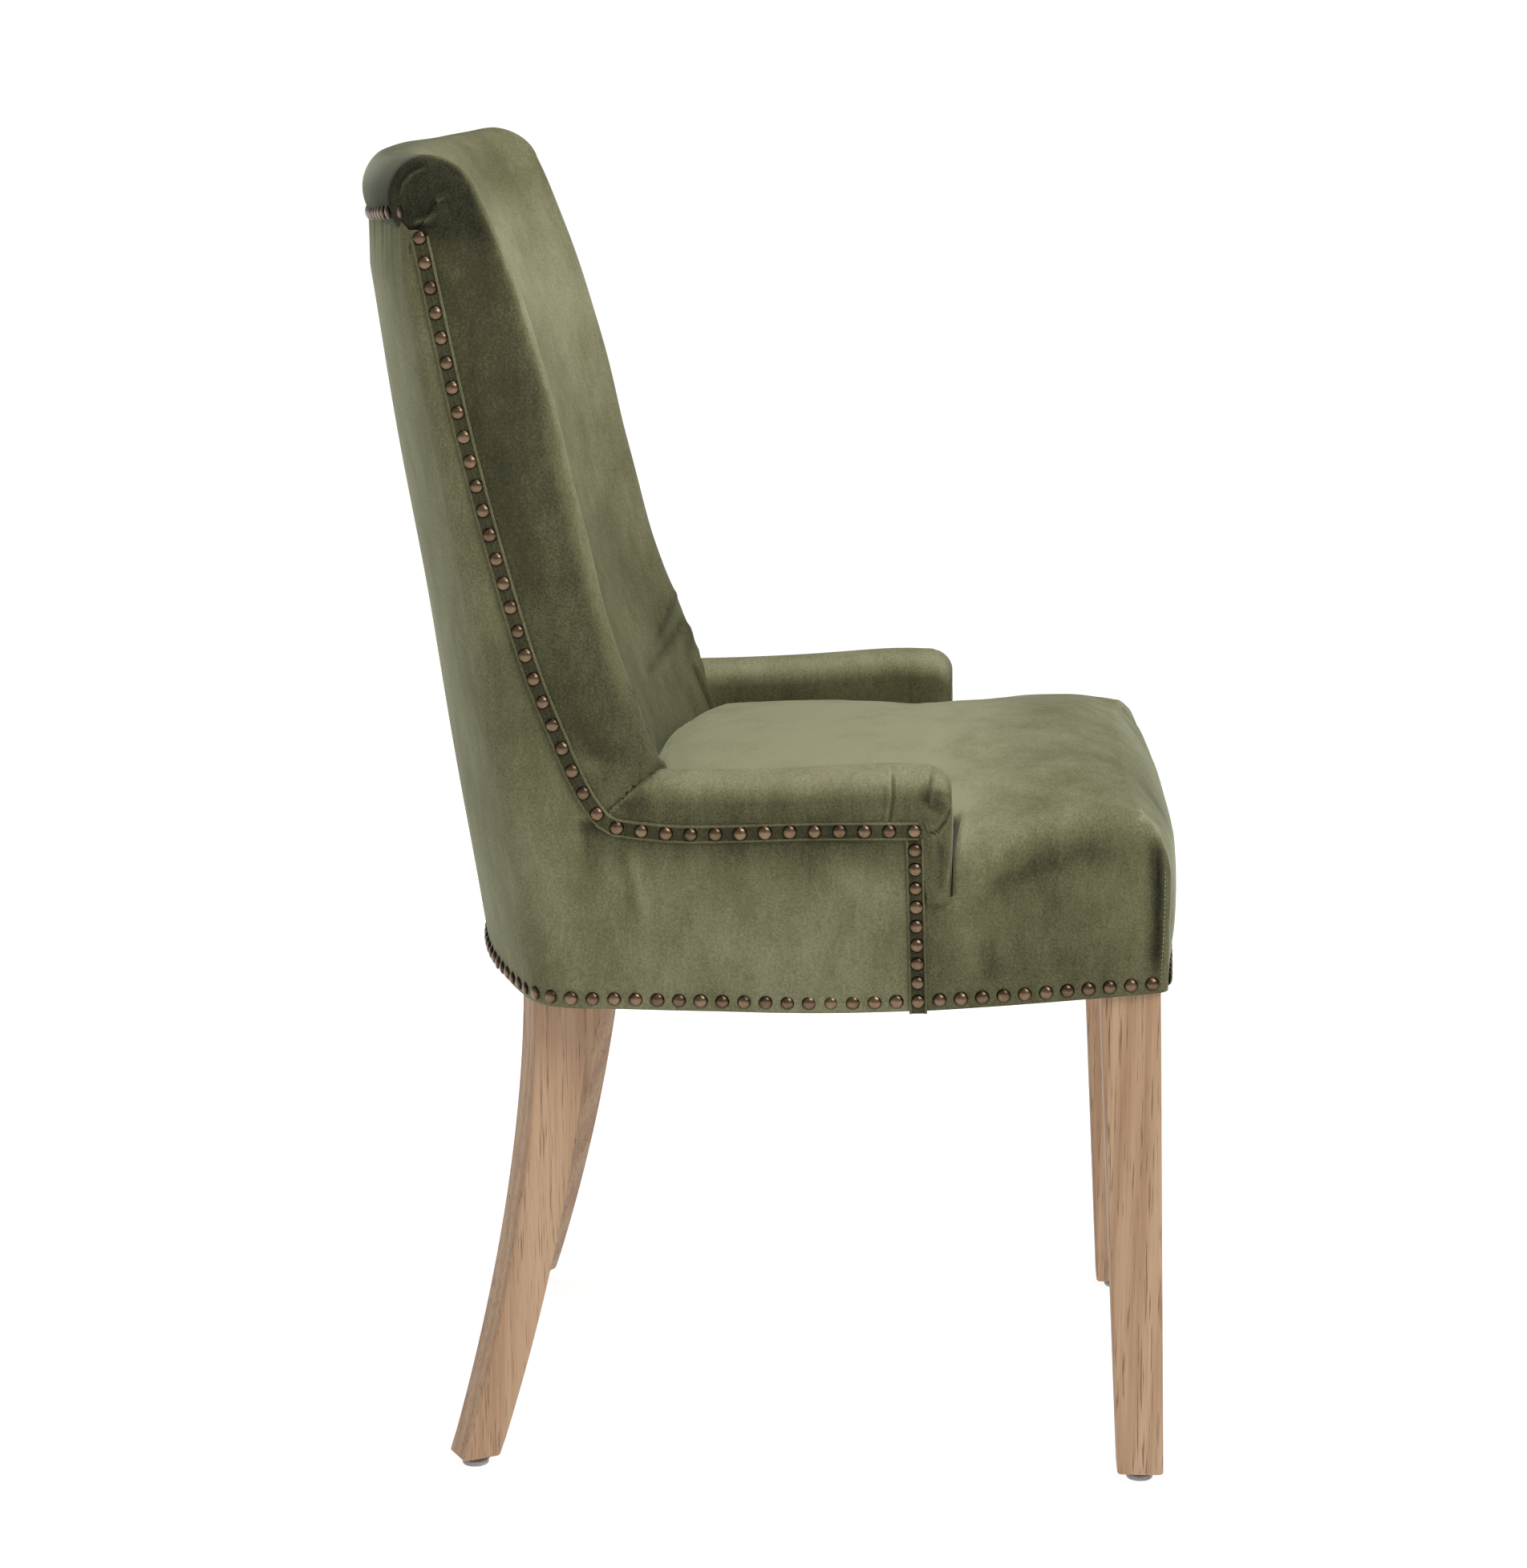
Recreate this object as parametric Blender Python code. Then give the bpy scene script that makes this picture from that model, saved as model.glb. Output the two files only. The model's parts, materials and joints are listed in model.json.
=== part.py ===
"""Upholstered dining chair: hardwood frame, foam, velvet covers, nailhead trim, oak legs.

Metres, +Z up. The sitter faces -Y and +X is the sitter's left. The origin is on the floor,
under the middle of the chair. Every piece is its own closed solid, parented to one empty.
"""

import math

import bmesh
import bpy
from mathutils import Vector

# ---------------------------------------------------------------- driving dimensions
GAP = 0.0003               # clearance between touching solids
SKIN = 0.0025              # velvet cover with its thin wadding
FOAM_GAP = 0.0008          # clearance between a cover and the foam inside it
SEAM_GAP = 0.0008          # half the gap between two covers that meet at a trim line

# outer shell: the back is an arc in plan, joined to the side panels by a rounded corner
REAR_AT_SEAT = 0.2430      # rearmost point of the shell at ARC_Z
ARC_Z = 0.485
REAR_RAKE = 0.157          # how far the back leans for each metre of height
REAR_RADIUS = 0.470        # plan radius of the barrel back
SIDE_FLARE = 0.052         # side panels open towards the front
FLARE_Y = 0.100
PANEL_FRONT_Y = -0.118     # column of nails down the front of the outside arm panel
PANEL_TOE_Y = -0.1430      # the panel runs this far forward low down, to the seat border
PANEL_HEAD_Y = -0.1288     # and this far behind the facing
PANEL_STEP = 0.670         # share of the panel height where the facing begins
BASE_Z = 0.3700            # lowest line of the cover, at the middle of the side
BASE_FRONT_RISE = 0.0170   # the cover's lower edge climbs this much at the front corners

HALF_WIDTH = ((0.370, 0.2470), (0.510, 0.2520), (0.600, 0.2480), (0.760, 0.2370), (0.925, 0.2245),
              (1.000, 0.2170))
CORNER_RADIUS = ((0.370, 0.045), (0.640, 0.036), (0.925, 0.0135), (1.000, 0.012))
NAIL_LINE = ((0.370, 0.1180), (0.505, 0.1190), (0.527, 0.1225), (0.575, 0.1474), (0.640, 0.1724),
             (0.784, 0.2126), (0.924, 0.2436), (0.960, 0.2510))
WING_FRONT = ((0.480, 0.0420), (0.556, 0.0730), (0.635, 0.1050), (0.743, 0.1345), (0.849, 0.1620),
              (0.903, 0.1790), (0.942, 0.1935), (0.962, 0.2020))

# inside back
WING_RADIUS = 0.019
INSIDE_SAG = 0.044         # the inside face is this much deeper at its middle than at the wings
BACK_FOAM = 0.046
BACK_FOOT_Z = 0.502
BACK_HEAD_Z = 0.930
BACK_STATIONS = (0.514, 0.530, 0.548, 0.575, 0.610, 0.660, 0.720, 0.790, 0.860, 0.905)

# scroll along the top of the back
SCROLL_RADIUS = 0.0325
SCROLL_Z = 0.9625
SCROLL_Y = 0.2805          # axis at the middle of the chair
SCROLL_PLAN_RADIUS = 0.515
SCROLL_HALF = 0.2150
SCROLL_NAIL_Z = 0.9465     # nail row under the scroll, at the middle
SCROLL_NAIL_RISE = 0.0105  # its climb to the ends

# seat
SEAT_SIDE_FRONT = 0.2445
SEAT_FRONT_Y = -0.3025     # front border at the corners
SEAT_FRONT_BOW = 0.0085    # the front bows forward this much at its middle
SEAT_EDGE_Z = 0.5130
SEAT_CORNER = 0.020
SEAT_BOTTOM = 0.4630
SEAT_TUCK = 0.0010         # clearance of the seat to the arms and the back
SEAT_COVER_TUCK_Z = 0.4700 # the cover ends here between the arms
SEAT_CROWN = ((-0.310, 0.010), (-0.270, 0.023), (-0.200, 0.028), (-0.022, 0.021), (0.060, 0.012),
              (0.110, 0.004))

# arms
ARM_FRONT_Y = -0.1415
ARM_BACK_Y = 0.0700
ARM_TOP = ((-0.142, 0.5560), (-0.090, 0.5565), (0.000, 0.5510), (0.080, 0.5490))
ARM_THICK = 0.0440
ARM_OUT = 0.0012           # the roll stands this much proud of the panel below it
ARM_NAIL_Z = 0.5080        # mean height of the trim line along the arm
ARM_LINE = ((-0.118, 0.5115), (-0.040, 0.5095), (0.050, 0.5055), (0.085, 0.5070), (0.1175, 0.5112))
ARM_FOOT_Z = 0.4660
FACING = 0.0120
ARM_RAIL_IN = 0.0065       # the arm rail sits this far inside the panel face
ARM_RAIL_TOP = 0.5120
ARM_RAIL_HIGH = 0.0400
ARM_RAIL_REAR = 0.0920

# hardwood frame
RAIL_THICK = 0.022
RAIL_BOTTOM = 0.3930
RAIL_TOP = 0.4520
POST_WIDE = 0.034
POST_DEEP = 0.028

# oak legs
FRONT_LEG_X = 0.2180
FRONT_LEG_TOP_Y = -0.2745
FRONT_LEG_FOOT_Y = -0.2890
FRONT_LEG_TOP = 0.0450
FRONT_LEG_FOOT = 0.0350
FRONT_LEG_SHOULDER = 0.386
LEG_ROUND = 0.0050
REAR_LEG_FOOT = (0.2170, 0.2195)
REAR_LEG_TWIST = math.radians(29)
REAR_LEG_SWEEP = 0.0720
REAR_LEG_POWER = 1.75
REAR_LEG_SHOULDER = 0.380
REAR_LEG_TOP_DEEP = 0.0440
REAR_LEG_FOOT_DEEP = 0.0310
REAR_LEG_THICK = 0.0290
LEG_TOP_Z = 0.4500
LEG_FOOT_Z = 0.0080

# glides under the legs
GLIDE_PAD_RADIUS = 0.0100
GLIDE_PAD_HIGH = 0.0040
GLIDE_BASE_RADIUS = 0.0118

# nailhead trim
NAIL_RADIUS = 0.0053
NAIL_HIGH = 0.0030
# share of the radius along the row, share of the width, share of the height
NAIL_DOME = ((-1.0, 0.22, 0.30), (-0.5, 0.88, 0.80), (0.5, 0.88, 0.80), (1.0, 0.22, 0.30))
TAPE_WIDE = 0.0130
TAPE_THICK = 0.0010
BASE_NAIL_UP = 0.0078      # height of the lowest nail row above the cover's edge
PITCH_ARM = 0.0185
PITCH_BASE = 0.0163
PITCH_SCROLL = 0.0165

# seat springing
STRAP_COUNT = 3
STRAP_WIDE = 0.060
STRAP_THICK = 0.0016

# ---------------------------------------------------------------- materials
MATERIALS = {
    "velvet": ((0.105, 0.115, 0.052), 0.85, 0.0),
    "oak": ((0.480, 0.325, 0.205), 0.55, 0.0),
    "beech": ((0.560, 0.400, 0.250), 0.65, 0.0),
    "foam": ((0.750, 0.690, 0.500), 0.95, 0.0),
    "webbing": ((0.300, 0.240, 0.170), 0.90, 0.0),
    "board": ((0.480, 0.360, 0.230), 0.80, 0.0),
    "lining": ((0.030, 0.030, 0.030), 0.90, 0.0),
    "bronze": ((0.300, 0.160, 0.085), 0.35, 1.0),
    "glide_plastic": ((0.120, 0.070, 0.045), 0.50, 0.0),
    "felt": ((0.420, 0.400, 0.380), 0.95, 0.0),
}


def clear_scene():
    for obj in list(bpy.data.objects):
        bpy.data.objects.remove(obj, do_unlink=True)


def material(name):
    """The named Principled material, made the first time it is asked for."""
    found = bpy.data.materials.get(name)
    if found:
        return found
    colour, rough, metal = MATERIALS[name]
    made = bpy.data.materials.new(name)
    made.use_nodes = True
    shader = made.node_tree.nodes["Principled BSDF"]
    shader.inputs["Base Color"].default_value = (*colour, 1.0)
    shader.inputs["Roughness"].default_value = rough
    shader.inputs["Metallic"].default_value = metal
    made.diffuse_color = (*colour, 1.0)
    return made


# ---------------------------------------------------------------- curves
def along(knots, at):
    """A smooth curve through (position, value) knots, read at one position, straight past the ends."""
    xs = [k[0] for k in knots]
    ys = [k[1] for k in knots]
    last = len(knots) - 1
    i = min(max(sum(at >= x for x in xs) - 1, 0), last - 1)

    def slope(j):
        low, high = max(j - 1, 0), min(j + 1, last)
        return (ys[high] - ys[low]) / (xs[high] - xs[low])

    wide = xs[i + 1] - xs[i]
    if at <= xs[0]:
        return ys[0] + slope(0) * (at - xs[0])
    if at >= xs[last]:
        return ys[last] + slope(last) * (at - xs[last])
    t = (at - xs[i]) / wide
    start = (2 * t**3 - 3 * t**2 + 1) * ys[i] + (t**3 - 2 * t**2 + t) * wide * slope(i)
    end = (3 * t**2 - 2 * t**3) * ys[i + 1] + (t**3 - t**2) * wide * slope(i + 1)
    return start + end


def spread(low, high, count):
    """count numbers from low to high, evenly spaced."""
    return [low + (high - low) * i / (count - 1) for i in range(count)]


def mirrored(half):
    """A right half that ends on the middle line, made whole: right side first, then left."""
    return half + [(-x, y) for x, y in reversed(half[:-1])]


# ---------------------------------------------------------------- shell outline
def rear_y(x, z, inset=0.0):
    """The barrel back's outer surface."""
    apex = REAR_AT_SEAT + REAR_RAKE * (min(z, 0.905) - ARC_Z)
    radius = REAR_RADIUS - inset
    return apex - inset - x * x / (2 * radius)


def side_x(y, z, inset=0.0):
    """The outer face of the side panels, above the arms also of the back's side bands."""
    return along(HALF_WIDTH, z) + SIDE_FLARE * (FLARE_Y - min(y, FLARE_Y)) - inset


def base_z(y):
    """The cover's lower edge: lowest at the middle of the side, a little higher at the front."""
    if y > 0:
        return BASE_Z
    return BASE_Z + BASE_FRONT_RISE * (y / SEAT_FRONT_Y) ** 1.5


def corner_arc(z, inset=0.0):
    """Centre, radius and end angle of the rear corner, tangent to the side and to the back."""
    half = along(HALF_WIDTH, z) - inset
    radius = max(along(CORNER_RADIUS, z) - inset, 0.006)
    steep = 1.1
    for _ in range(4):
        touch = (half - radius) / (1 - radius / (REAR_RADIUS * steep))
        steep = math.hypot(touch / REAR_RADIUS, 1)
    centre_y = rear_y(touch, z, inset) - radius / steep
    return half - radius, centre_y, radius, math.atan2(1, touch / REAR_RADIUS)


def shell_behind(z, inset=0.0, columns=5):
    """The shell from the nail line round the corner to the middle of the back, right half."""
    centre_x, centre_y, radius, turn = corner_arc(z, inset)
    corner = [(centre_x + radius * math.cos(a), centre_y + radius * math.sin(a))
              for a in spread(0, turn, 5)]
    start = min(along(NAIL_LINE, z) + SEAM_GAP, centre_y - 0.0005)
    meet = corner[-1][0]
    rear = [(x, rear_y(x, z, inset)) for x in spread(meet, 0, columns + 1)[1:]]
    return [(centre_x + radius, start)] + corner + rear


def wing_profile(z, inset=0.0):
    """The inside back from the nail line round the wing to the middle, right half."""
    half = along(HALF_WIDTH, z) - inset
    nail_y = along(NAIL_LINE, z) - SEAM_GAP
    radius = WING_RADIUS - inset
    tip = along(WING_FRONT, z) + inset
    centre = (half - radius, tip + radius)
    lean = math.atan(2 * INSIDE_SAG / centre[0])
    nose = [(centre[0] + radius * math.cos(a), centre[1] - radius * math.sin(a))
            for a in spread(0, math.pi / 2 + lean, 6)]
    start = nose[-1]
    depth = INSIDE_SAG - (start[1] - tip)
    face = [(start[0] * f, start[1] + depth * (1 - f * f)) for f in spread(1, 0, 6)[1:]]
    middle_y = (nail_y + centre[1]) / 2
    return [(half, nail_y), (half, middle_y)] + nose + face


# ---------------------------------------------------------------- mesh building
def add_object(name, mesh, finish, smooth=40):
    obj = bpy.data.objects.new(name, mesh)
    bpy.context.scene.collection.objects.link(obj)
    mesh.materials.append(material(finish))
    if smooth:
        mesh.shade_smooth()
        mesh.set_sharp_from_angle(angle=math.radians(smooth))
    obj.parent = CHAIR
    return obj


def mesh_from(name, points, faces):
    """A mesh of these faces, with its longer faces cut to triangles and its normals outward."""
    shape = bmesh.new()
    corners = [shape.verts.new(p) for p in points]
    for face in faces:
        shape.faces.new([corners[i] for i in face])
    bmesh.ops.remove_doubles(shape, verts=shape.verts, dist=1e-6)
    bmesh.ops.triangulate(shape, faces=[f for f in shape.faces if len(f.verts) > 4])
    bmesh.ops.recalc_face_normals(shape, faces=shape.faces)
    if shape.calc_volume(signed=True) < 0:
        bmesh.ops.reverse_faces(shape, faces=shape.faces)
    mesh = bpy.data.meshes.new(name)
    shape.to_mesh(mesh)
    shape.free()
    return mesh


def loft(name, rings, finish, smooth=40):
    """A closed solid through rings of equal length, with its two ends capped."""
    count = len(rings[0])
    points = [p for ring in rings for p in ring]
    faces = []
    for r in range(len(rings) - 1):
        for i in range(count):
            j = (i + 1) % count
            faces.append((r * count + i, r * count + j, (r + 1) * count + j, (r + 1) * count + i))
    faces.append(tuple(range(count)))
    faces.append(tuple((len(rings) - 1) * count + i for i in range(count)))
    return add_object(name, mesh_from(name, points, faces), finish, smooth)


def slab(name, outer, inner, finish, smooth=40):
    """A closed sheet between two grids of points of the same shape."""
    rows, columns = len(outer), len(outer[0])
    points = [p for row in outer for p in row] + [p for row in inner for p in row]
    back = rows * columns
    faces = []
    for r in range(rows - 1):
        for c in range(columns - 1):
            a = r * columns + c
            quad = (a, a + 1, a + columns + 1, a + columns)
            faces.append(quad)
            faces.append(tuple(back + i for i in reversed(quad)))
    rim = [c for c in range(columns)]
    rim += [r * columns + columns - 1 for r in range(1, rows)]
    rim += [(rows - 1) * columns + c for c in range(columns - 2, -1, -1)]
    rim += [r * columns for r in range(rows - 2, 0, -1)]
    for i, a in enumerate(rim):
        b = rim[(i + 1) % len(rim)]
        faces.append((b, a, back + a, back + b))
    return add_object(name, mesh_from(name, points, faces), finish, smooth)


def prism(name, outline, low, high, finish):
    """An upright solid with a flat outline."""
    rings = [[(x, y, z) for x, y in outline] for z in (low, high)]
    return loft(name, rings, finish, smooth=0)


def sides():
    """The two sides: name and the sign of X. The sitter's left is +X."""
    return (("left", 1), ("right", -1))


def flipped(points, sign):
    return [(sign * p[0], *p[1:]) for p in points]


# ---------------------------------------------------------------- legs and glides
def rounded_box(half_u, half_v, radius):
    """A rectangle round the origin with chamfered corners, eight points."""
    u, v, r = half_u, half_v, radius
    return [(u, -v + r), (u, v - r), (u - r, v), (-u + r, v), (-u, v - r), (-u, -v + r),
            (-u + r, -v), (u - r, -v)]


def front_leg(side, sign):
    """Straight taper below the shoulder, a square peg above it inside the frame."""
    rings = []
    for z in (LEG_FOOT_Z, FRONT_LEG_SHOULDER, LEG_TOP_Z):
        t = min((z - LEG_FOOT_Z) / (FRONT_LEG_SHOULDER - LEG_FOOT_Z), 1)
        size = FRONT_LEG_FOOT + (FRONT_LEG_TOP - FRONT_LEG_FOOT) * t
        y = FRONT_LEG_FOOT_Y + (FRONT_LEG_TOP_Y - FRONT_LEG_FOOT_Y) * t
        x = sign * (FRONT_LEG_X + FRONT_LEG_TOP / 2 - size / 2)
        rings.append([(x + u, y + v, z) for u, v in rounded_box(size / 2, size / 2, LEG_ROUND)])
    loft(f"front_{side}_leg", rings, "oak", 30)


def rear_leg_frame(z, sign):
    """Centre and the two section directions of a rear leg: along its sweep, and across it."""
    t = min((REAR_LEG_SHOULDER - z) / (REAR_LEG_SHOULDER - LEG_FOOT_Z), 1)
    swept = REAR_LEG_SWEEP * (1 - max(t, 0) ** REAR_LEG_POWER)
    back = Vector((sign * math.sin(REAR_LEG_TWIST), math.cos(REAR_LEG_TWIST)))
    across = Vector((sign * math.cos(REAR_LEG_TWIST), -math.sin(REAR_LEG_TWIST)))
    centre = Vector((sign * REAR_LEG_FOOT[0], REAR_LEG_FOOT[1])) - back * swept
    return centre, back, across


def rear_leg(side, sign):
    """Sabre leg: square to a diagonal, sweeping back and out towards the foot."""
    rings = []
    for z in spread(LEG_FOOT_Z, REAR_LEG_SHOULDER, 11) + [LEG_TOP_Z]:
        centre, back, across = rear_leg_frame(z, sign)
        t = min(z / REAR_LEG_SHOULDER, 1)
        deep = REAR_LEG_FOOT_DEEP + (REAR_LEG_TOP_DEEP - REAR_LEG_FOOT_DEEP) * t
        section = rounded_box(deep / 2, REAR_LEG_THICK / 2, LEG_ROUND * 0.8)
        flat = [centre + back * u + across * v for u, v in section]
        rings.append([(p.x, p.y, z) for p in flat])
    loft(f"rear_{side}_leg", rings, "oak", 30)


def disc(name, x, y, low, high, radius, top_radius, finish, sides_count=16):
    rings = []
    for z, r in ((low, radius), (high, top_radius)):
        rings.append([(x + r * math.cos(a), y + r * math.sin(a), z)
                      for a in spread(0, 2 * math.pi, sides_count + 1)[:-1]])
    loft(name, rings, finish, 30)


def glides():
    for side, sign in sides():
        feet = {"front": (sign * (FRONT_LEG_X + FRONT_LEG_TOP / 2 - FRONT_LEG_FOOT / 2),
                          FRONT_LEG_FOOT_Y),
                "rear": (sign * REAR_LEG_FOOT[0], REAR_LEG_FOOT[1])}
        for end, (x, y) in feet.items():
            disc(f"{end}_{side}_glide_pad", x, y, 0, GLIDE_PAD_HIGH, GLIDE_PAD_RADIUS,
                 GLIDE_PAD_RADIUS, "felt")
            disc(f"{end}_{side}_glide_base", x, y, GLIDE_PAD_HIGH + GAP, LEG_FOOT_Z - GAP,
                 GLIDE_BASE_RADIUS * 0.9, GLIDE_BASE_RADIUS, "glide_plastic")


# ---------------------------------------------------------------- frame
def seat_side_x(y, inset=0.0):
    """The seat border in front of the arms, which narrows towards the front."""
    at_arm = side_x(ARM_FRONT_Y, ARC_Z) - 0.004
    t = (ARM_FRONT_Y - y) / (ARM_FRONT_Y - SEAT_FRONT_Y)
    return at_arm + (SEAT_SIDE_FRONT - at_arm) * min(max(t, 0), 1) - inset


def rail_x(y, inset):
    """Side rail faces: inside the seat border in front, inside the panel behind."""
    return min(seat_side_x(y), side_x(y, RAIL_BOTTOM)) - inset


def seat_rails():
    clear = SKIN + 0.0015
    leg_inner = FRONT_LEG_X - FRONT_LEG_TOP / 2
    front_y = SEAT_FRONT_Y + clear + 0.0015
    prism("seat_front_rail",
          [(-leg_inner + GAP, front_y), (leg_inner - GAP, front_y),
           (leg_inner - GAP, front_y + RAIL_THICK), (-leg_inner + GAP, front_y + RAIL_THICK)],
          RAIL_BOTTOM, RAIL_TOP, "beech")
    rows = spread(FRONT_LEG_TOP_Y + FRONT_LEG_TOP / 2 + 0.0008, 0.118, 6)
    for side, sign in sides():
        outline = [(sign * rail_x(y, clear), y) for y in rows]
        outline += [(sign * rail_x(y, clear + RAIL_THICK), y) for y in reversed(rows)]
        prism(f"seat_{side}_rail", outline, RAIL_BOTTOM, RAIL_TOP, "beech")
    xs = spread(-0.170, 0.170, 9)
    outline = [(x, rear_y(x, RAIL_BOTTOM, clear)) for x in xs]
    outline += [(x, rear_y(x, RAIL_BOTTOM, clear + RAIL_THICK)) for x in reversed(xs)]
    prism("seat_rear_rail", outline, RAIL_BOTTOM, RAIL_TOP, "beech")


def corner_blocks():
    clear = SKIN + 0.0015 + RAIL_THICK + GAP
    low, high = RAIL_BOTTOM + 0.004, RAIL_TOP - 0.006
    leg_inner = FRONT_LEG_X - FRONT_LEG_TOP / 2 - GAP
    leg_rear = FRONT_LEG_TOP_Y + FRONT_LEG_TOP / 2 + GAP
    rail_back = SEAT_FRONT_Y + SKIN + 0.003 + RAIL_THICK + GAP
    for side, sign in sides():
        front = [(rail_x(-0.195, clear), -0.195), (rail_x(leg_rear, clear), leg_rear),
                 (leg_inner, leg_rear), (leg_inner, rail_back), (0.150, rail_back)]
        prism(f"front_{side}_corner_block", flipped(front, sign), low, high, "beech")
        centre, back, across = rear_leg_frame(RAIL_TOP, 1)
        reach, half = REAR_LEG_TOP_DEEP / 2 + GAP, REAR_LEG_THICK / 2 + GAP
        outer = centre + back * reach * 0.55 + across * half
        knee = centre - back * reach + across * half
        inner = centre - back * reach - across * half
        rear = [(rail_x(0.062, clear), 0.062), (rail_x(0.117, clear), 0.117),
                (outer.x, outer.y), (knee.x, knee.y), (inner.x, inner.y), (0.150, 0.122)]
        prism(f"rear_{side}_corner_block", flipped(rear, sign), low, high, "beech")


def back_posts():
    """The two uprights that carry the back, standing on the corner blocks."""
    for side, sign in sides():
        rings = []
        for z in stations(RAIL_TOP + GAP, 0.925):
            outer = along(HALF_WIDTH, z) - SKIN - 0.001
            nail = along(NAIL_LINE, z) + 0.006
            flat = [(outer - POST_WIDE, nail - POST_DEEP), (outer, nail - POST_DEEP),
                    (outer, nail), (outer - POST_WIDE, nail)]
            rings.append([(sign * x, y, z) for x, y in flat])
        loft(f"back_{side}_post", rings, "beech", 0)


def back_rails():
    """Top rail under the scroll and lower rail above the seat, both between the posts."""
    for name, low, high in (("back_top_rail", 0.868, 0.922), ("back_lower_rail", 0.500, 0.545)):
        reach = along(HALF_WIDTH, high) - SKIN - POST_WIDE - 0.006
        rings = []
        for z in stations(low, high):
            front = [(x, foam_rear_y(x, z) + 0.0012) for x in spread(-reach, reach, 11)]
            rings.append([(x, y, z) for x, y in front]
                         + [(x, y + RAIL_THICK * 0.9, z) for x, y in reversed(front)])
        loft(name, rings, "beech", 0)


def arm_frame():
    """A front post and a rail inside each arm."""
    for side, sign in sides():
        outer = side_x(PANEL_FRONT_Y, ARM_NAIL_Z) - ARM_RAIL_IN
        post = [(outer - 0.026, PANEL_FRONT_Y - 0.0080), (outer, PANEL_FRONT_Y - 0.0080),
                (outer, PANEL_FRONT_Y + 0.0200), (outer - 0.026, PANEL_FRONT_Y + 0.0200)]
        prism(f"arm_{side}_post", flipped(post, sign), RAIL_TOP + GAP, ARM_RAIL_TOP, "beech")
        rings = []
        for y in (PANEL_FRONT_Y + 0.0200 + GAP, ARM_RAIL_REAR):
            x = side_x(y, ARM_NAIL_Z) - ARM_RAIL_IN
            low = ARM_RAIL_TOP - ARM_RAIL_HIGH
            rings.append([(sign * (x - RAIL_THICK), y, low), (sign * x, y, low),
                          (sign * x, y, ARM_RAIL_TOP), (sign * (x - RAIL_THICK), y, ARM_RAIL_TOP)])
        loft(f"arm_{side}_rail", rings, "beech", 0)


# ---------------------------------------------------------------- seat
def seat_height(x, y, half):
    """The seat's crowned top, between its side edges."""
    share = min(abs(x) / half, 1)
    return SEAT_EDGE_Z + along(SEAT_CROWN, y) * (1 - share * share)


def seat_section(y, half, inset, low):
    """One crosswise outline of the seat: up a side, over the crown, down the other."""
    shoulder = SEAT_CORNER - inset
    wide = half - inset
    top = [(wide - shoulder + shoulder * math.cos(a),
            seat_height(wide - shoulder, y, half) - inset - shoulder + shoulder * math.sin(a))
           for a in spread(0, math.pi / 2, 4)]
    crown = [(wide * f, seat_height(wide * f, y, half) - inset) for f in (0.8, 0.6, 0.4, 0.2, 0)]
    return mirrored([(wide, low)] + top + crown)


def seat_rows(inset):
    """Stations along the seat from front to rear: y, half width, and how far the top drops."""
    front = SEAT_FRONT_Y + inset
    rows = [(front + 0.030 * (1 - math.cos(a)), 0.003 * (1 - math.sin(a)), 0.034 * (1 - math.sin(a)))
            for a in spread(0.15, math.pi / 2, 5)]
    rows += [(y, 0, 0) for y in (-0.240, -0.200, ARM_FRONT_Y - 0.003 - inset)]
    return rows


def arm_inner_x(y):
    """The inner face of an arm."""
    return side_x(y, ARM_NAIL_Z) + ARM_OUT - ARM_THICK


def seat_rings(inset, low, low_behind, past=0.0):
    """Rings of the whole seat, wide in front of the arms and narrow between them."""
    rings = []
    for y, pinch, drop in seat_rows(inset):
        foot = low(y)
        flat = seat_section(y, seat_side_x(y) - pinch, inset, foot)
        rings.append(bowed([(x, y, z if z == foot else z - drop) for x, z in flat]))
    for y in (ARM_FRONT_Y - 0.0025 - inset, -0.100, -0.060, -0.020, 0.020, 0.046):
        flat = seat_section(y, arm_inner_x(y) - SEAT_TUCK, inset, low_behind)
        rings.append([(x, y, z) for x, z in flat])
    back = [(x, inside_face_y(x, BACK_FOOT_Z) - SEAT_TUCK - inset + past, z) for x, y, z in rings[-1]]
    half = arm_inner_x(back[0][1]) - SEAT_TUCK - inset
    rings.append([(min(max(x, -half), half), y, z) for x, y, z in back])
    return rings


def bowed(ring):
    """Pushes the front of the seat forward at its middle."""
    out = []
    for x, y, z in ring:
        near = min(max((-0.20 - y) / (-0.20 - SEAT_FRONT_Y), 0), 1)
        out.append((x, y - SEAT_FRONT_BOW * near * max(1 - (x / SEAT_SIDE_FRONT) ** 2, 0), z))
    return out


def seat_foam():
    rings = seat_rings(SKIN + FOAM_GAP, lambda y: SEAT_BOTTOM, SEAT_BOTTOM)
    loft("seat_foam", rings, "foam")


def hollow_out(obj, cutter):
    cutter.hide_render = True
    cutter.display_type = "WIRE"
    cut = obj.modifiers.new(cutter.name, "BOOLEAN")
    cut.operation = "DIFFERENCE"
    cut.object = cutter


def seat_cover():
    """A velvet skin over the foam and down the borders: the outer form with the inner one cut out."""
    low = base_z(SEAT_FRONT_Y) - 0.030
    cover = loft("seat_cover", seat_rings(0, base_z, SEAT_COVER_TUCK_Z), "velvet")
    inner = seat_rings(SKIN, lambda y: low, SEAT_COVER_TUCK_Z - 0.020, 0.012)
    hollow_out(cover, loft("seat_cover_inside", inner, "velvet"))
    step = ARM_FRONT_Y - 0.003
    box = [(-0.280, step - 0.005), (0.280, step - 0.005), (0.280, step + 0.010), (-0.280, step + 0.010)]
    hollow_out(cover, prism("seat_cover_step", box, low, SEAT_BOTTOM + 0.002, "velvet"))


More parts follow.
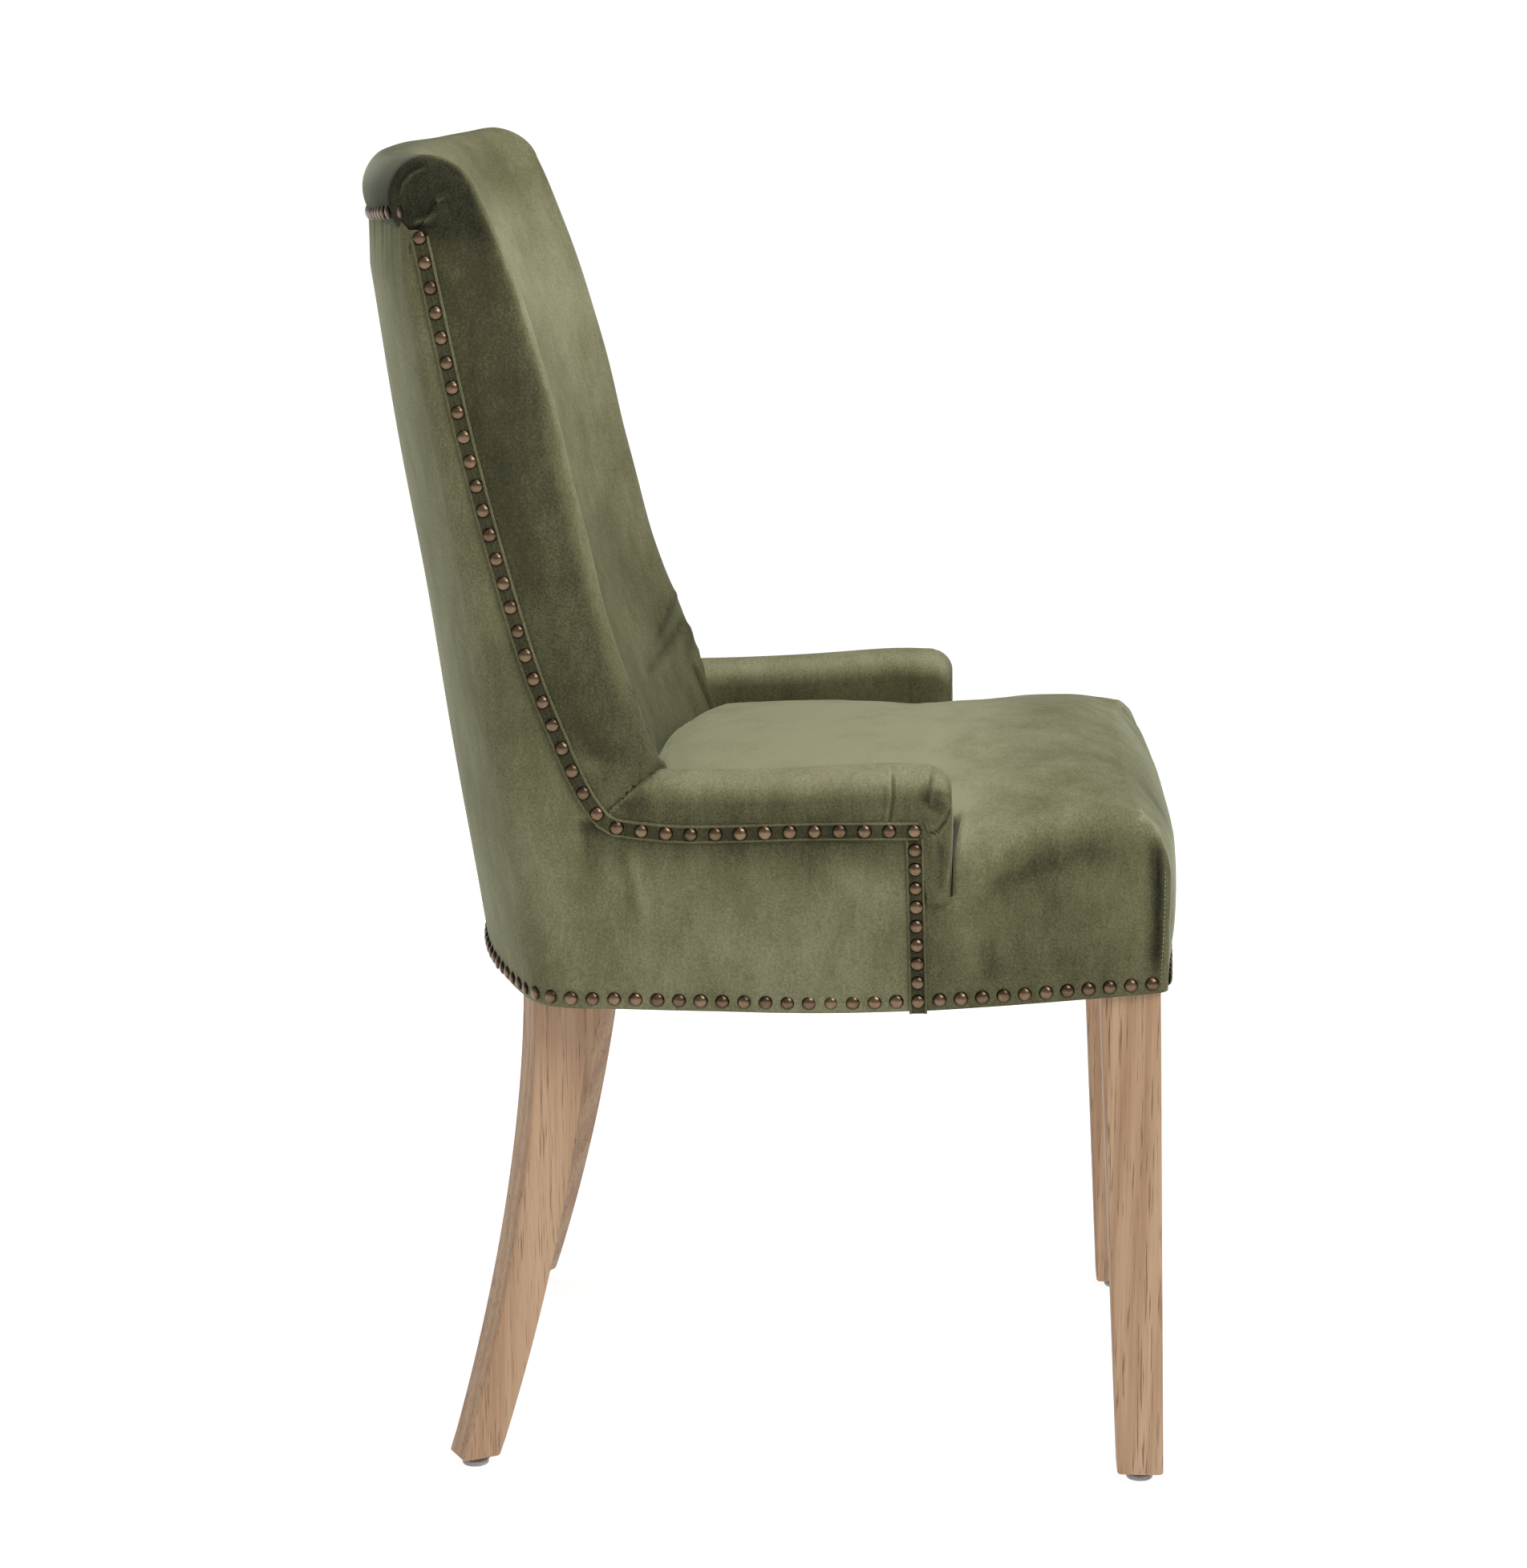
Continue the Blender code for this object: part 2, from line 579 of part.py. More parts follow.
def seat_support():
    """Elastic straps from the front rail to the rear rail, with a felt deck over them."""
    step = 0.110
    low = RAIL_TOP + GAP
    for i in range(STRAP_COUNT):
        x = (i - (STRAP_COUNT - 1) / 2) * step
        front = SEAT_FRONT_Y + 0.012
        rear = rear_y(abs(x) + STRAP_WIDE / 2, RAIL_TOP) - 0.014
        flat = [(x - STRAP_WIDE / 2, front), (x + STRAP_WIDE / 2, front),
                (x + STRAP_WIDE / 2, rear), (x - STRAP_WIDE / 2, rear)]
        prism(f"seat_strap_{i + 1}", flat, low, low + STRAP_THICK, "webbing")
    deck = [(-0.192, SEAT_FRONT_Y + 0.010), (0.192, SEAT_FRONT_Y + 0.010), (0.192, 0.088), (-0.192, 0.088)]
    prism("seat_deck", deck, low + STRAP_THICK + GAP, SEAT_BOTTOM - GAP, "lining")


def dust_cover():
    """Black cloth stapled under the seat rails."""
    flat = [(-0.192, -0.284), (0.192, -0.284), (0.192, -0.249), (0.236, -0.249), (0.238, 0.060),
            (0.150, 0.116), (0.150, 0.194), (0.075, 0.212), (-0.075, 0.212), (-0.150, 0.194),
            (-0.150, 0.116), (-0.238, 0.060), (-0.236, -0.249), (-0.192, -0.249)]
    prism("dust_cover", flat, RAIL_BOTTOM - 0.0015, RAIL_BOTTOM - GAP, "lining")


# ---------------------------------------------------------------- arms
def arm_boundary(y, inset):
    """The arm's outline in the XZ plane, from its nail row over the roll down to the seat."""
    outer = side_x(y, ARM_NAIL_Z) + ARM_OUT - inset
    inner = side_x(y, ARM_NAIL_Z) + ARM_OUT - ARM_THICK + inset
    top = along(ARM_TOP, y) - inset
    radius = (outer - inner) / 2
    middle = (outer + inner) / 2
    arch = [(middle + radius * math.cos(a), top - radius + radius * math.sin(a))
            for a in spread(0, math.pi, 9)]
    return [(outer - ARM_OUT * 0.8, along(ARM_LINE, y) + SEAM_GAP)] + arch + [(inner, ARM_FOOT_Z)]


def arm_ring(y, outline, sign, end=False):
    """A ring of the arm at y; the last one leans back along the front of the wing above it."""
    ring = []
    for x, z in outline:
        rear = along(WING_FRONT, max(z, BACK_FOOT_Z)) - 0.0020
        ring.append((sign * x, rear if end else y, z))
    return ring


def arm_cover_and_foam():
    rows = [ARM_FRONT_Y + FACING + GAP, -0.090, -0.050, -0.010, 0.020, 0.048]
    for side, sign in sides():
        skin, foam = [], []
        for y in rows:
            end = y == rows[-1]
            ribbon = arm_boundary(y, 0) + arm_boundary(y, SKIN)[::-1]
            skin.append(arm_ring(y, ribbon, sign, end))
            x = side_x(y, ARM_NAIL_Z) - ARM_RAIL_IN
            hollow = [(x - 0.0275, ARM_FOOT_Z), (x - 0.0275, ARM_RAIL_TOP + FOAM_GAP),
                      (x + 0.0010, ARM_RAIL_TOP + FOAM_GAP)]
            foam.append(arm_ring(y, arm_boundary(y, SKIN + FOAM_GAP) + hollow, sign, end))
        loft(f"arm_{side}_cover", skin, "velvet", 50)
        loft(f"arm_{side}_foam", foam, "foam", 50)


def arm_facings():
    """The padded front of each arm."""
    for side, sign in sides():
        rings = []
        for y, shrink in ((ARM_FRONT_Y, 0.010), (ARM_FRONT_Y + 0.0035, 0.003), (ARM_FRONT_Y + FACING, 0)):
            outline = arm_boundary(ARM_FRONT_Y + FACING, shrink)
            outline = [(x, max(z, ARM_FOOT_Z + shrink)) for x, z in outline]
            rings.append([(sign * x, y, z) for x, z in outline[1:]]
                         + [(sign * outline[1][0], y, ARM_FOOT_Z + shrink)])
        loft(f"arm_{side}_facing", rings, "velvet", 50)


# ---------------------------------------------------------------- back
def stations(low, high):
    """The heights at which every piece of the back is drawn, so that neighbours stay parallel."""
    return [low] + [z for z in BACK_STATIONS if low + 0.003 < z < high - 0.003] + [high]


def foam_rear_y(x, z):
    """The back of the foam: flat on the posts, bowed between them."""
    rear = along(NAIL_LINE, z) + 0.006 - POST_DEEP - FOAM_GAP
    reach = along(HALF_WIDTH, z) - SKIN - POST_WIDE - 0.003
    deep = along(WING_FRONT, z) + INSIDE_SAG + BACK_FOAM - rear
    return rear + deep * max(1 - (x / reach) ** 2, 0)


def arm_slots(obj):
    """Cuts the two lower corners away, where the arms run back to the posts."""
    for side, sign in sides():
        inner = side_x(ARM_RAIL_REAR, ARM_NAIL_Z) - ARM_RAIL_IN - RAIL_THICK - 0.0012
        box = [(inner, 0.020), (0.300, 0.020), (0.300, 0.140), (inner, 0.140)]
        cutter = prism(f"{obj.name}_{side}_slot", flipped(box, sign), 0.480, ARM_RAIL_TOP + 0.0008, "foam")
        hollow_out(obj, cutter)


def back_cover():
    rings = []
    for z in stations(BACK_FOOT_Z, BACK_HEAD_Z):
        outline = mirrored(wing_profile(z))
        lining = mirrored(wing_profile(z, SKIN))
        rings.append([(x, y, z) for x, y in outline + lining[::-1]])
    arm_slots(loft("inside_back_cover", rings, "velvet", 50))


def back_foam():
    rings = []
    for z in stations(BACK_FOOT_Z, BACK_HEAD_Z):
        inset = SKIN + FOAM_GAP
        half = along(HALF_WIDTH, z) - inset
        reach = along(HALF_WIDTH, z) - SKIN - POST_WIDE - 0.003
        front = [(half, foam_rear_y(reach, z))] + wing_profile(z, inset)[2:]
        behind = [(x, foam_rear_y(x, z)) for x in spread(-reach, reach, 11)]
        rings.append([(x, y, z) for x, y in mirrored(front) + behind])
    arm_slots(loft("back_foam", rings, "foam", 50))


def back_support():
    """A curved board between the posts, behind the foam."""
    outer, inner = [], []
    for z in stations(0.5500, 0.8640):
        reach = along(HALF_WIDTH, z) - SKIN - POST_WIDE - 0.006
        line = [(x, foam_rear_y(x, z) + 0.0012, z) for x in spread(-reach, reach, 11)]
        inner.append(line)
        outer.append([(x, y + 0.004, z) for x, y, z in line])
    slab("back_support_board", outer, inner, "board")


def outside_panels():
    """Velvet over card: one panel round the back, and one down each side under the arm."""
    outer, inner = [], []
    for z in [BASE_Z] + spread(0.385, 0.925, 10) + [SCROLL_NAIL_Z - 0.006]:
        line = mirrored(shell_behind(z))
        lining = mirrored(shell_behind(z, SKIN))
        outer.append([(x, y, z) for x, y in line])
        inner.append([(x, y, z) for x, y in lining])
    slab("outside_back_panel", outer, inner, "velvet")
    for side, sign in sides():
        outer, inner = [], []
        for v in (0, 0.35, PANEL_STEP - 0.005, PANEL_STEP, 1):
            row, lining = [], []
            front = PANEL_TOE_Y if v < PANEL_STEP else PANEL_HEAD_Y
            for y in spread(front, 0.1175, 8):
                low = base_z(y)
                high = along(ARM_LINE, y) - SEAM_GAP
                z = low + (high - low) * v
                row.append((sign * side_x(y, z), y, z))
                lining.append((sign * side_x(y, z, SKIN), y, z))
            outer.append(row)
            inner.append(lining)
        slab(f"outside_arm_{side}_panel", outer, inner, "velvet")


# ---------------------------------------------------------------- scroll
def scroll_axis_y(x):
    return SCROLL_Y - x * x / (2 * SCROLL_PLAN_RADIUS)


def scroll_nail_z(x):
    return SCROLL_NAIL_Z + SCROLL_NAIL_RISE * (x / SCROLL_HALF) ** 2


def scroll_section(x, inset):
    """The scroll's outline in the YZ plane, from the inside back over the top to the nail row."""
    axis = scroll_axis_y(x)
    radius = SCROLL_RADIUS - inset
    front_y = inside_face_y(x, BACK_HEAD_Z + GAP) + inset
    arc = [(axis - radius * math.cos(a), SCROLL_Z + radius * math.sin(a))
           for a in spread(math.radians(8), math.radians(207), 11)]
    return [(front_y, BACK_HEAD_Z + GAP)] + arc


def scroll_foot(x, tuck):
    """The scroll's lower rear corner, inside the outside panel."""
    y = rear_y(x, BACK_HEAD_Z) - SKIN - 0.0020 - tuck
    return [(y, SCROLL_NAIL_Z - 0.0040), (y, BACK_HEAD_Z + GAP)]


def inside_face_y(x, z):
    """The inside back's surface at one point."""
    line = wing_profile(z)
    for (xa, ya), (xb, yb) in zip(line[2:], line[3:]):
        if xb <= abs(x) <= xa and xa - xb > 1e-9:
            return ya + (yb - ya) * (xa - abs(x)) / (xa - xb)
    return line[2][1]


def scroll():
    """Foam roll along the top, its velvet, and the two gathered ends."""
    reach = SCROLL_HALF - 0.012
    skin, foam = [], []
    for x in spread(-reach, reach, 13):
        outline = scroll_section(x, 0)
        lining = scroll_section(x, SKIN)
        skin.append([(x, y, z) for y, z in outline + lining[::-1]])
        body = scroll_section(x, SKIN + FOAM_GAP + 0.0004)
        foam.append([(x, y, z) for y, z in body + scroll_foot(x, 0)])
    loft("scroll_cover", skin, "velvet", 50)
    loft("scroll_foam", foam, "foam", 50)
    for side, sign in sides():
        rings = []
        for x, inset in ((reach + GAP, 0.0), (reach + 0.007, 0.0012), (SCROLL_HALF, 0.006)):
            outline = scroll_section(reach, inset) + scroll_foot(reach, (x - reach) * 0.4)
            rings.append([(sign * x, y, z) for y, z in outline])
        loft(f"scroll_{side}_end", rings, "velvet", 50)


# ---------------------------------------------------------------- trim
def walk(path, pitch):
    """Even stations about pitch apart along a 3-D path: position, direction and half step."""
    points = [Vector(p) for p in path]
    lengths = [0.0]
    for a, b in zip(points, points[1:]):
        lengths.append(lengths[-1] + (b - a).length)
    count = max(round(lengths[-1] / pitch), 1)
    stations = []
    for i in range(count + 1):
        target = lengths[-1] * i / count
        j = min(max(sum(target >= length for length in lengths) - 1, 0), len(points) - 2)
        part = (target - lengths[j]) / (lengths[j + 1] - lengths[j])
        stations.append((points[j].lerp(points[j + 1], part), (points[j + 1] - points[j]).normalized()))
    return stations


def nail_row(name, path, normal_at, pitch, lift=0.0):
    """Domed nails joined by the thin wire of their strip, as one chain."""
    rings = []
    for spot, forward in walk(path, pitch):
        up = Vector(normal_at(spot)).normalized()
        up = (up - forward * up.dot(forward)).normalized()
        across = forward.cross(up)
        base = spot + up * (lift + 3 * GAP)
        for shift, wide, high in NAIL_DOME:
            half = NAIL_RADIUS * wide
            middle = base + forward * shift * NAIL_RADIUS
            rings.append([middle - across * half, middle + across * half,
                          middle + across * half * 0.5 + up * NAIL_HIGH * high,
                          middle - across * half * 0.5 + up * NAIL_HIGH * high])
    loft(name, [[tuple(p) for p in ring] for ring in rings], "bronze", 30)


def tape(name, path, normal_at, wide=TAPE_WIDE):
    """A flat velvet band under a row of nails."""
    points = [Vector(p) for p in path]
    rings = []
    for i, spot in enumerate(points):
        forward = (points[min(i + 1, len(points) - 1)] - points[max(i - 1, 0)]).normalized()
        up = Vector(normal_at(spot)).normalized()
        up = (up - forward * up.dot(forward)).normalized()
        across = forward.cross(up)
        low = spot + up * GAP
        high = spot + up * TAPE_THICK
        rings.append([tuple(p) for p in (low - across * wide / 2, low + across * wide / 2,
                                         high + across * wide / 2, high - across * wide / 2)])
    loft(name, rings, "velvet", 30)


def scroll_nail_y(x):
    """The nails under the scroll lie on whichever stands out more, the panel or the scroll."""
    drop = SCROLL_Z - (scroll_nail_z(x) - 0.003 + NAIL_RADIUS)
    scroll_face = scroll_axis_y(x) + math.sqrt(SCROLL_RADIUS**2 - drop**2)
    return max(rear_y(x, SCROLL_NAIL_Z), scroll_face) + GAP


def arm_back_path(sign):
    """The long trim line: along the arm, round the bend, and up the side of the back."""
    out = 0.0006
    path = [(sign * (side_x(y, ARM_NAIL_Z) + ARM_OUT + out), y, along(ARM_LINE, y))
            for y in spread(PANEL_FRONT_Y, 0.085, 9)]
    path += [(sign * (side_x(0.1, z) + ARM_OUT + out), along(NAIL_LINE, z) - 0.001, z)
             for z in (0.524, 0.540, 0.565, 0.600, 0.650, 0.710, 0.780, 0.850, 0.900, 0.934)]
    return path


def base_path():
    """The lowest nail row: from the middle of the rear round one side to its front corner."""
    up = BASE_NAIL_UP
    half = [(x, y, BASE_Z + up) for x, y in shell_behind(BASE_Z + up)[:0:-1]]
    half += [(side_x(y, BASE_Z), y, base_z(y) + up) for y in spread(0.100, PANEL_TOE_Y, 8)]
    half += [(seat_side_x(y), y, base_z(y) + up) for y in spread(-0.156, SEAT_FRONT_Y + 0.012, 5)]
    return half


def outward(spot):
    """Outward direction of the cover near its lower edge, level with the floor."""
    centre_x, centre_y, _, _ = corner_arc(spot.z)
    if spot.y < centre_y:
        return (math.copysign(1, spot.x), 0, 0)
    if abs(spot.x) < centre_x + centre_x / REAR_RADIUS * (spot.y - centre_y):
        return (spot.x / REAR_RADIUS, 1, 0)
    return (math.copysign(abs(spot.x) - centre_x, spot.x), spot.y - centre_y, 0)


def sideways(spot):
    return (math.copysign(1, spot.x), 0, 0)


def trim():
    for side, sign in sides():
        path = arm_back_path(sign)
        top = ARM_NAIL_Z - 0.008
        column = [(sign * (side_x(PANEL_FRONT_Y, z) + 0.0006), PANEL_FRONT_Y, z)
                  for z in spread(base_z(PANEL_FRONT_Y) + 0.020, top, 5)]
        tape(f"arm_back_{side}_tape", path, sideways)
        tape(f"arm_front_{side}_tape", column, sideways)
        nail_row(f"arm_{side}_nails", column + path, sideways, PITCH_ARM, TAPE_THICK)
    half = base_path()
    around = [(-x, y, z) for x, y, z in reversed(half[1:])] + half
    nail_row("base_nails", around, outward, PITCH_BASE, GAP)
    low_z = base_z(SEAT_FRONT_Y) + BASE_NAIL_UP
    front = [(x, SEAT_FRONT_Y - SEAT_FRONT_BOW * (1 - (x / SEAT_SIDE_FRONT) ** 2), low_z)
             for x in spread(-SEAT_SIDE_FRONT + 0.014, SEAT_SIDE_FRONT - 0.014, 13)]
    nail_row("base_front_nails", front, lambda spot: (0, -1, 0), PITCH_BASE, GAP)
    row = [(x, scroll_nail_y(x), scroll_nail_z(x) - 0.003) for x in spread(-0.190, 0.190, 13)]
    nail_row("scroll_nails", row, lambda spot: (spot.x / REAR_RADIUS, 1, 0), PITCH_SCROLL)


# ---------------------------------------------------------------- assembly
clear_scene()
CHAIR = bpy.data.objects.new("chair", None)
bpy.context.scene.collection.objects.link(CHAIR)

for side_name, side_sign in sides():
    front_leg(side_name, side_sign)
    rear_leg(side_name, side_sign)
glides()
seat_rails()
corner_blocks()
back_posts()
back_rails()
arm_frame()
seat_support()
seat_foam()
seat_cover()
dust_cover()
arm_cover_and_foam()
arm_facings()
back_foam()
back_support()
back_cover()
outside_panels()
scroll()
trim()
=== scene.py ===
"""Looks of an upholstered dining chair: velvet covers, welted tape, domed nails and oak legs.

Metres, +Z up, in the packed model's frame. The sitter faces -Y and the sitter's left is +X.
Every visible piece is drawn here again, finer, on the same outlines as the solids it stands for.
"""
import json
import math
from collections import namedtuple

import bmesh
import bpy
import numpy as np
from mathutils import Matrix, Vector
from mathutils.kdtree import KDTree


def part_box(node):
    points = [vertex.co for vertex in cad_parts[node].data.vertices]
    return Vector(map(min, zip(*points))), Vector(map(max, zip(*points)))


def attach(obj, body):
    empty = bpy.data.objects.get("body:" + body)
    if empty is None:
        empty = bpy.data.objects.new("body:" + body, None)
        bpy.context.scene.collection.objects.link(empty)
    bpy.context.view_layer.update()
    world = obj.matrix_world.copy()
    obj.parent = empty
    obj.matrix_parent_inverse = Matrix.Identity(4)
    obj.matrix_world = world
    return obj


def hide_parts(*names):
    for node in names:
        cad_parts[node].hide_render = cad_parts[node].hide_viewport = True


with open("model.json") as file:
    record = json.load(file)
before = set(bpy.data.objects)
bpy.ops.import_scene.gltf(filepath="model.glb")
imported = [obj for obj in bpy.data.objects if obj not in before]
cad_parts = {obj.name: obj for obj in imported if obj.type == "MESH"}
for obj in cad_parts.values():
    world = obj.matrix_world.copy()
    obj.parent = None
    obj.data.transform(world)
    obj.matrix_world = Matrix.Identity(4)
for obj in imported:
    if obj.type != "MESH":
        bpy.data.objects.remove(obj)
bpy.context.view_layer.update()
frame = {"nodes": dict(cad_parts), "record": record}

# ---------------------------------------------------------------- driving dimensions
SIDES = (("left", 1), ("right", -1))  # the sitter's left is +X
SKIN = 0.0022              # velvet with its backing
REAR_AT_SEAT = 0.243       # rearmost point of the shell at ARC_Z
ARC_Z = 0.485
REAR_RAKE = 0.157          # how far the back leans for each metre of height
REAR_RADIUS = 0.47         # plan radius of the barrel back
SIDE_FLARE = 0.052         # side panels open towards the front
FLARE_Y = 0.1
BASE_Z = 0.37              # lowest line of the cover, at the middle of the side
BASE_FRONT_RISE = 0.017    # the cover's lower edge climbs this much at the front corners
COLUMN_Y = -0.118          # the column of nails down the front of the outside arm
COLUMN_HEAD_Y = -0.1142
BEND_Z = 0.5112            # the trim turns from the arm up the back here

HALF_WIDTH = ((0.37, 0.247), (0.51, 0.252), (0.6, 0.248), (0.76, 0.237), (0.925, 0.2245),
              (1.0, 0.217))
CORNER_RADIUS = ((0.37, 0.045), (0.64, 0.036), (0.925, 0.0135), (1.0, 0.012))
NAIL_LINE = ((0.37, 0.118), (0.505, 0.119), (0.527, 0.1225), (0.575, 0.1474), (0.64, 0.1724),
             (0.784, 0.2126), (0.924, 0.2436), (0.96, 0.251))
TRIM_BEND = ((0.507, 0.095), (0.5075, 0.1), (0.512, 0.111), (0.52, 0.1185), (0.53, 0.1255),
             (0.545, 0.1335), (0.565, 0.1425))
WING_FRONT = ((0.48, 0.042), (0.556, 0.073), (0.635, 0.105), (0.743, 0.1345), (0.849, 0.162),
              (0.903, 0.179), (0.942, 0.1935), (0.962, 0.202))
WING_RADIUS = 0.019
WING_RADIUS_TOP = 0.015
INSIDE_SAG = 0.044         # the inside face is this much deeper at its middle than at the wings
BAND_COLUMNS, NOSE_COLUMNS, FACE_COLUMNS = 14, 12, 26
BACK_FOOT_Z = 0.502
BACK_HEAD_Z = 0.93

SCROLL_RADIUS = 0.0325
SCROLL_Z = 0.9625
SCROLL_Y = 0.2805          # axis at the middle of the chair
SCROLL_PLAN_RADIUS = 0.515
SCROLL_HALF = 0.215
SCROLL_END_ROUND = 0.0085
SCROLL_NAIL_Z = 0.9465
SCROLL_NAIL_RISE = 0.0105

SEAT_SIDE_FRONT = 0.2445
SEAT_FRONT_Y = -0.3025
SEAT_FRONT_BOW = 0.0085
SEAT_CORNER = 0.01
SEAT_SIDE_Y = SEAT_FRONT_Y + SEAT_CORNER
SEAT_EDGE_Z = 0.513
SEAT_TUCK = 0.001
SEAT_LEDGE_Z = 0.46        # the seat's side runs back under the arm front below this height
SEAT_NOTCH_Y = -0.1425     # and stops in front of the arm above it
SEAT_CROWN = ((-0.31, 0.01), (-0.27, 0.023), (-0.2, 0.028), (-0.022, 0.021), (0.06, 0.012),
              (0.11, 0.004))
SEAT_MIDDLE = (0.0, -0.2)
ROUND_SIDE = 0.021         # how far the seat's shoulder runs inward: at the side,
ROUND_ARM = 0.046          # in front of the arm,
ROUND_TUCK = 0.012         # and where the seat is tucked in against the arms and the back
CREST_CORNER = 0.006       # plan radius of the crest's front corners
CREST_FRONT_Y = SEAT_FRONT_Y + 0.026
CREST_REAR_Y = SEAT_NOTCH_Y - 0.01
SEAT_INNER_FOOT = 0.43     # the hidden sides of the seat end here
RECESS_Z = 0.396           # underside of the upholstery, above the dust cover

ARM_FRONT_Y = -0.1415
ARM_REAR_Y = 0.118
ARM_TOP = ((-0.142, 0.556), (-0.09, 0.5565), (0.0, 0.551), (0.08, 0.549))
ARM_THICK = 0.044
ARM_OUT = 0.0012
ARM_NAIL_Z = 0.508
ARM_LINE = ((-0.118, 0.5115), (-0.04, 0.5095), (0.05, 0.5055), (0.085, 0.507), (0.1175, 0.5112))
ARM_FOOT_Z = 0.466
ARM_END_ROUND = 0.02       # rounding of the roll's front end, seen from the side
ARM_EDGE_ROUND = 0.009     # rounding of the facing's upright edges

NAIL_RADIUS = 0.0053
NAIL_HIGH = 0.0029
NAIL_SIDES = 20
TAPE_WIDE = 0.0132
TAPE_HIGH = 0.0016
BASE_NAIL_UP = 0.0078
PITCH_ARM = 0.0178
PITCH_BACK = 0.0181
COLUMN_NAILS = 9           # below the corner nail that the arm and the column share
PITCH_BASE = 0.0162
PITCH_SCROLL = 0.0132

STITCHES = 26              # at each front corner of the seat
STITCH_Y = -0.2962
STITCH_THICK = 0.0007
STITCH_LONG = 0.0022

LEG_FOOT_Z = 0.008
LEG_ROUND = 0.0032
FRONT_LEG_X = 0.218
FRONT_LEG_TOP_Y = -0.2745
FRONT_LEG_FOOT_Y = -0.289
FRONT_LEG_TOP = 0.045
FRONT_LEG_FOOT = 0.035
FRONT_LEG_SHOULDER = 0.386
REAR_LEG_FOOT = (0.217, 0.2195)
REAR_LEG_TWIST = math.radians(29)
REAR_LEG_SWEEP = 0.072
REAR_LEG_POWER = 1.75
REAR_LEG_SHOULDER = 0.38
REAR_LEG_TOP_DEEP = 0.044
REAR_LEG_FOOT_DEEP = 0.031
REAR_LEG_THICK = 0.029

SIM_FRAMES = 20
FOLLOW_REACH = 0.0075      # how far around a point the simulated movement is averaged

# camera, as solved from the object's own edges
CAMERA_AT = (-3.1099, -0.1355, 1.1477)
CAMERA_YAW = math.radians(2.6403)
CAMERA_PITCH = math.radians(11.9391)
CAMERA_LENS = 91.95

Fold = namedtuple("Fold", "points wide high lean shade")
# A seam, crease or drag line: points in a plane, half width, height (below 0 is a groove), how far one flank
# stands above the other, and its painted shade (below 0) or painted highlight (above 0).
Fold.__doc__ = """A seam, crease or drag line: points in a plane, half width, height (below 0 is a groove),
how far one flank stands above the other, and how much darker (below 0) or lighter it looks."""


# ---------------------------------------------------------------- curves
def along(knots, at):
    """A smooth curve through (position, value) knots, read at one position, straight past the ends."""
    xs = [k[0] for k in knots]
    ys = [k[1] for k in knots]
    last = len(knots) - 1
    i = min(max(sum(at >= x for x in xs) - 1, 0), last - 1)

    def slope(j):
        low, high = max(j - 1, 0), min(j + 1, last)
        return (ys[high] - ys[low]) / (xs[high] - xs[low])

    wide = xs[i + 1] - xs[i]
    if at <= xs[0]:
        return ys[0] + slope(0) * (at - xs[0])
    if at >= xs[last]:
        return ys[last] + slope(last) * (at - xs[last])
    t = (at - xs[i]) / wide
    start = (2 * t**3 - 3 * t**2 + 1) * ys[i] + (t**3 - 2 * t**2 + t) * wide * slope(i)
    end = (3 * t**2 - 2 * t**3) * ys[i + 1] + (t**3 - t**2) * wide * slope(i + 1)
    return start + end


def spread(low, high, count):
    return [low + (high - low) * i / (count - 1) for i in range(count)]


def ease(t):
    """0 below 0, 1 above 1, smooth between. Takes a number or an array."""
    t = np.clip(t, 0.0, 1.0)
    return t * t * (3 - 2 * t)


def mix(a, b, t):
    return a + (b - a) * t


# ---------------------------------------------------------------- shell outline
def rear_y(x, z):
    """The barrel back's outer surface."""
    apex = REAR_AT_SEAT + REAR_RAKE * (min(z, 0.905) - ARC_Z)
    return apex - x * x / (2 * REAR_RADIUS)


def side_x(y, z):
    """The outer face of the side panels, above the arms also of the back's side bands."""
    return along(HALF_WIDTH, z) + SIDE_FLARE * (FLARE_Y - min(y, FLARE_Y))


def base_z(y):
    """The cover's lower edge: lowest at the middle of the side, a little higher at the front."""
    if y > 0:
        return BASE_Z
    return BASE_Z + BASE_FRONT_RISE * (y / SEAT_FRONT_Y) ** 1.5


def corner_arc(z):
    """Centre, radius and end angle of the rear corner, tangent to the side and to the back."""
    half, radius = along(HALF_WIDTH, z), along(CORNER_RADIUS, z)
    steep = 1.1
    for _ in range(4):
        touch = (half - radius) / (1 - radius / (REAR_RADIUS * steep))
        steep = math.hypot(touch / REAR_RADIUS, 1)
    centre_y = rear_y(touch, z) - radius / steep
    return half - radius, centre_y, radius, math.atan2(1, touch / REAR_RADIUS)


def shell_behind(z, start, flat=6, bend=10, rear=52):
    """The shell at one height from y = start round the corner to the middle of the back."""
    centre_x, centre_y, radius, turn = corner_arc(z)
    half = centre_x + radius
    line = [(half, y) for y in spread(min(start, centre_y - 0.002), centre_y, flat)[:-1]]
    line += [(centre_x + radius * math.cos(a), centre_y + radius * math.sin(a))
             for a in spread(0, turn, bend)]
    meet = line[-1][0]
    return line + [(x, rear_y(x, z)) for x in spread(meet, 0, rear + 1)[1:]]


def scroll_nail_z(x):
    return SCROLL_NAIL_Z + SCROLL_NAIL_RISE * (x / SCROLL_HALF) ** 2


def scroll_axis_y(x):
    return SCROLL_Y - x * x / (2 * SCROLL_PLAN_RADIUS)


# ---------------------------------------------------------------- mesh building
def linked(obj):
    bpy.context.scene.collection.objects.link(obj)
    return obj


def new_object(name, mesh):
    obj = linked(bpy.data.objects.new(name, mesh))
    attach(obj, "root")
    return obj


def smooth_mesh(name, shape):
    """Turns a bmesh into a smoothly shaded mesh."""
    mesh = bpy.data.meshes.new(name)
    shape.to_mesh(mesh)
    shape.free()
    mesh.shade_smooth()
    return mesh


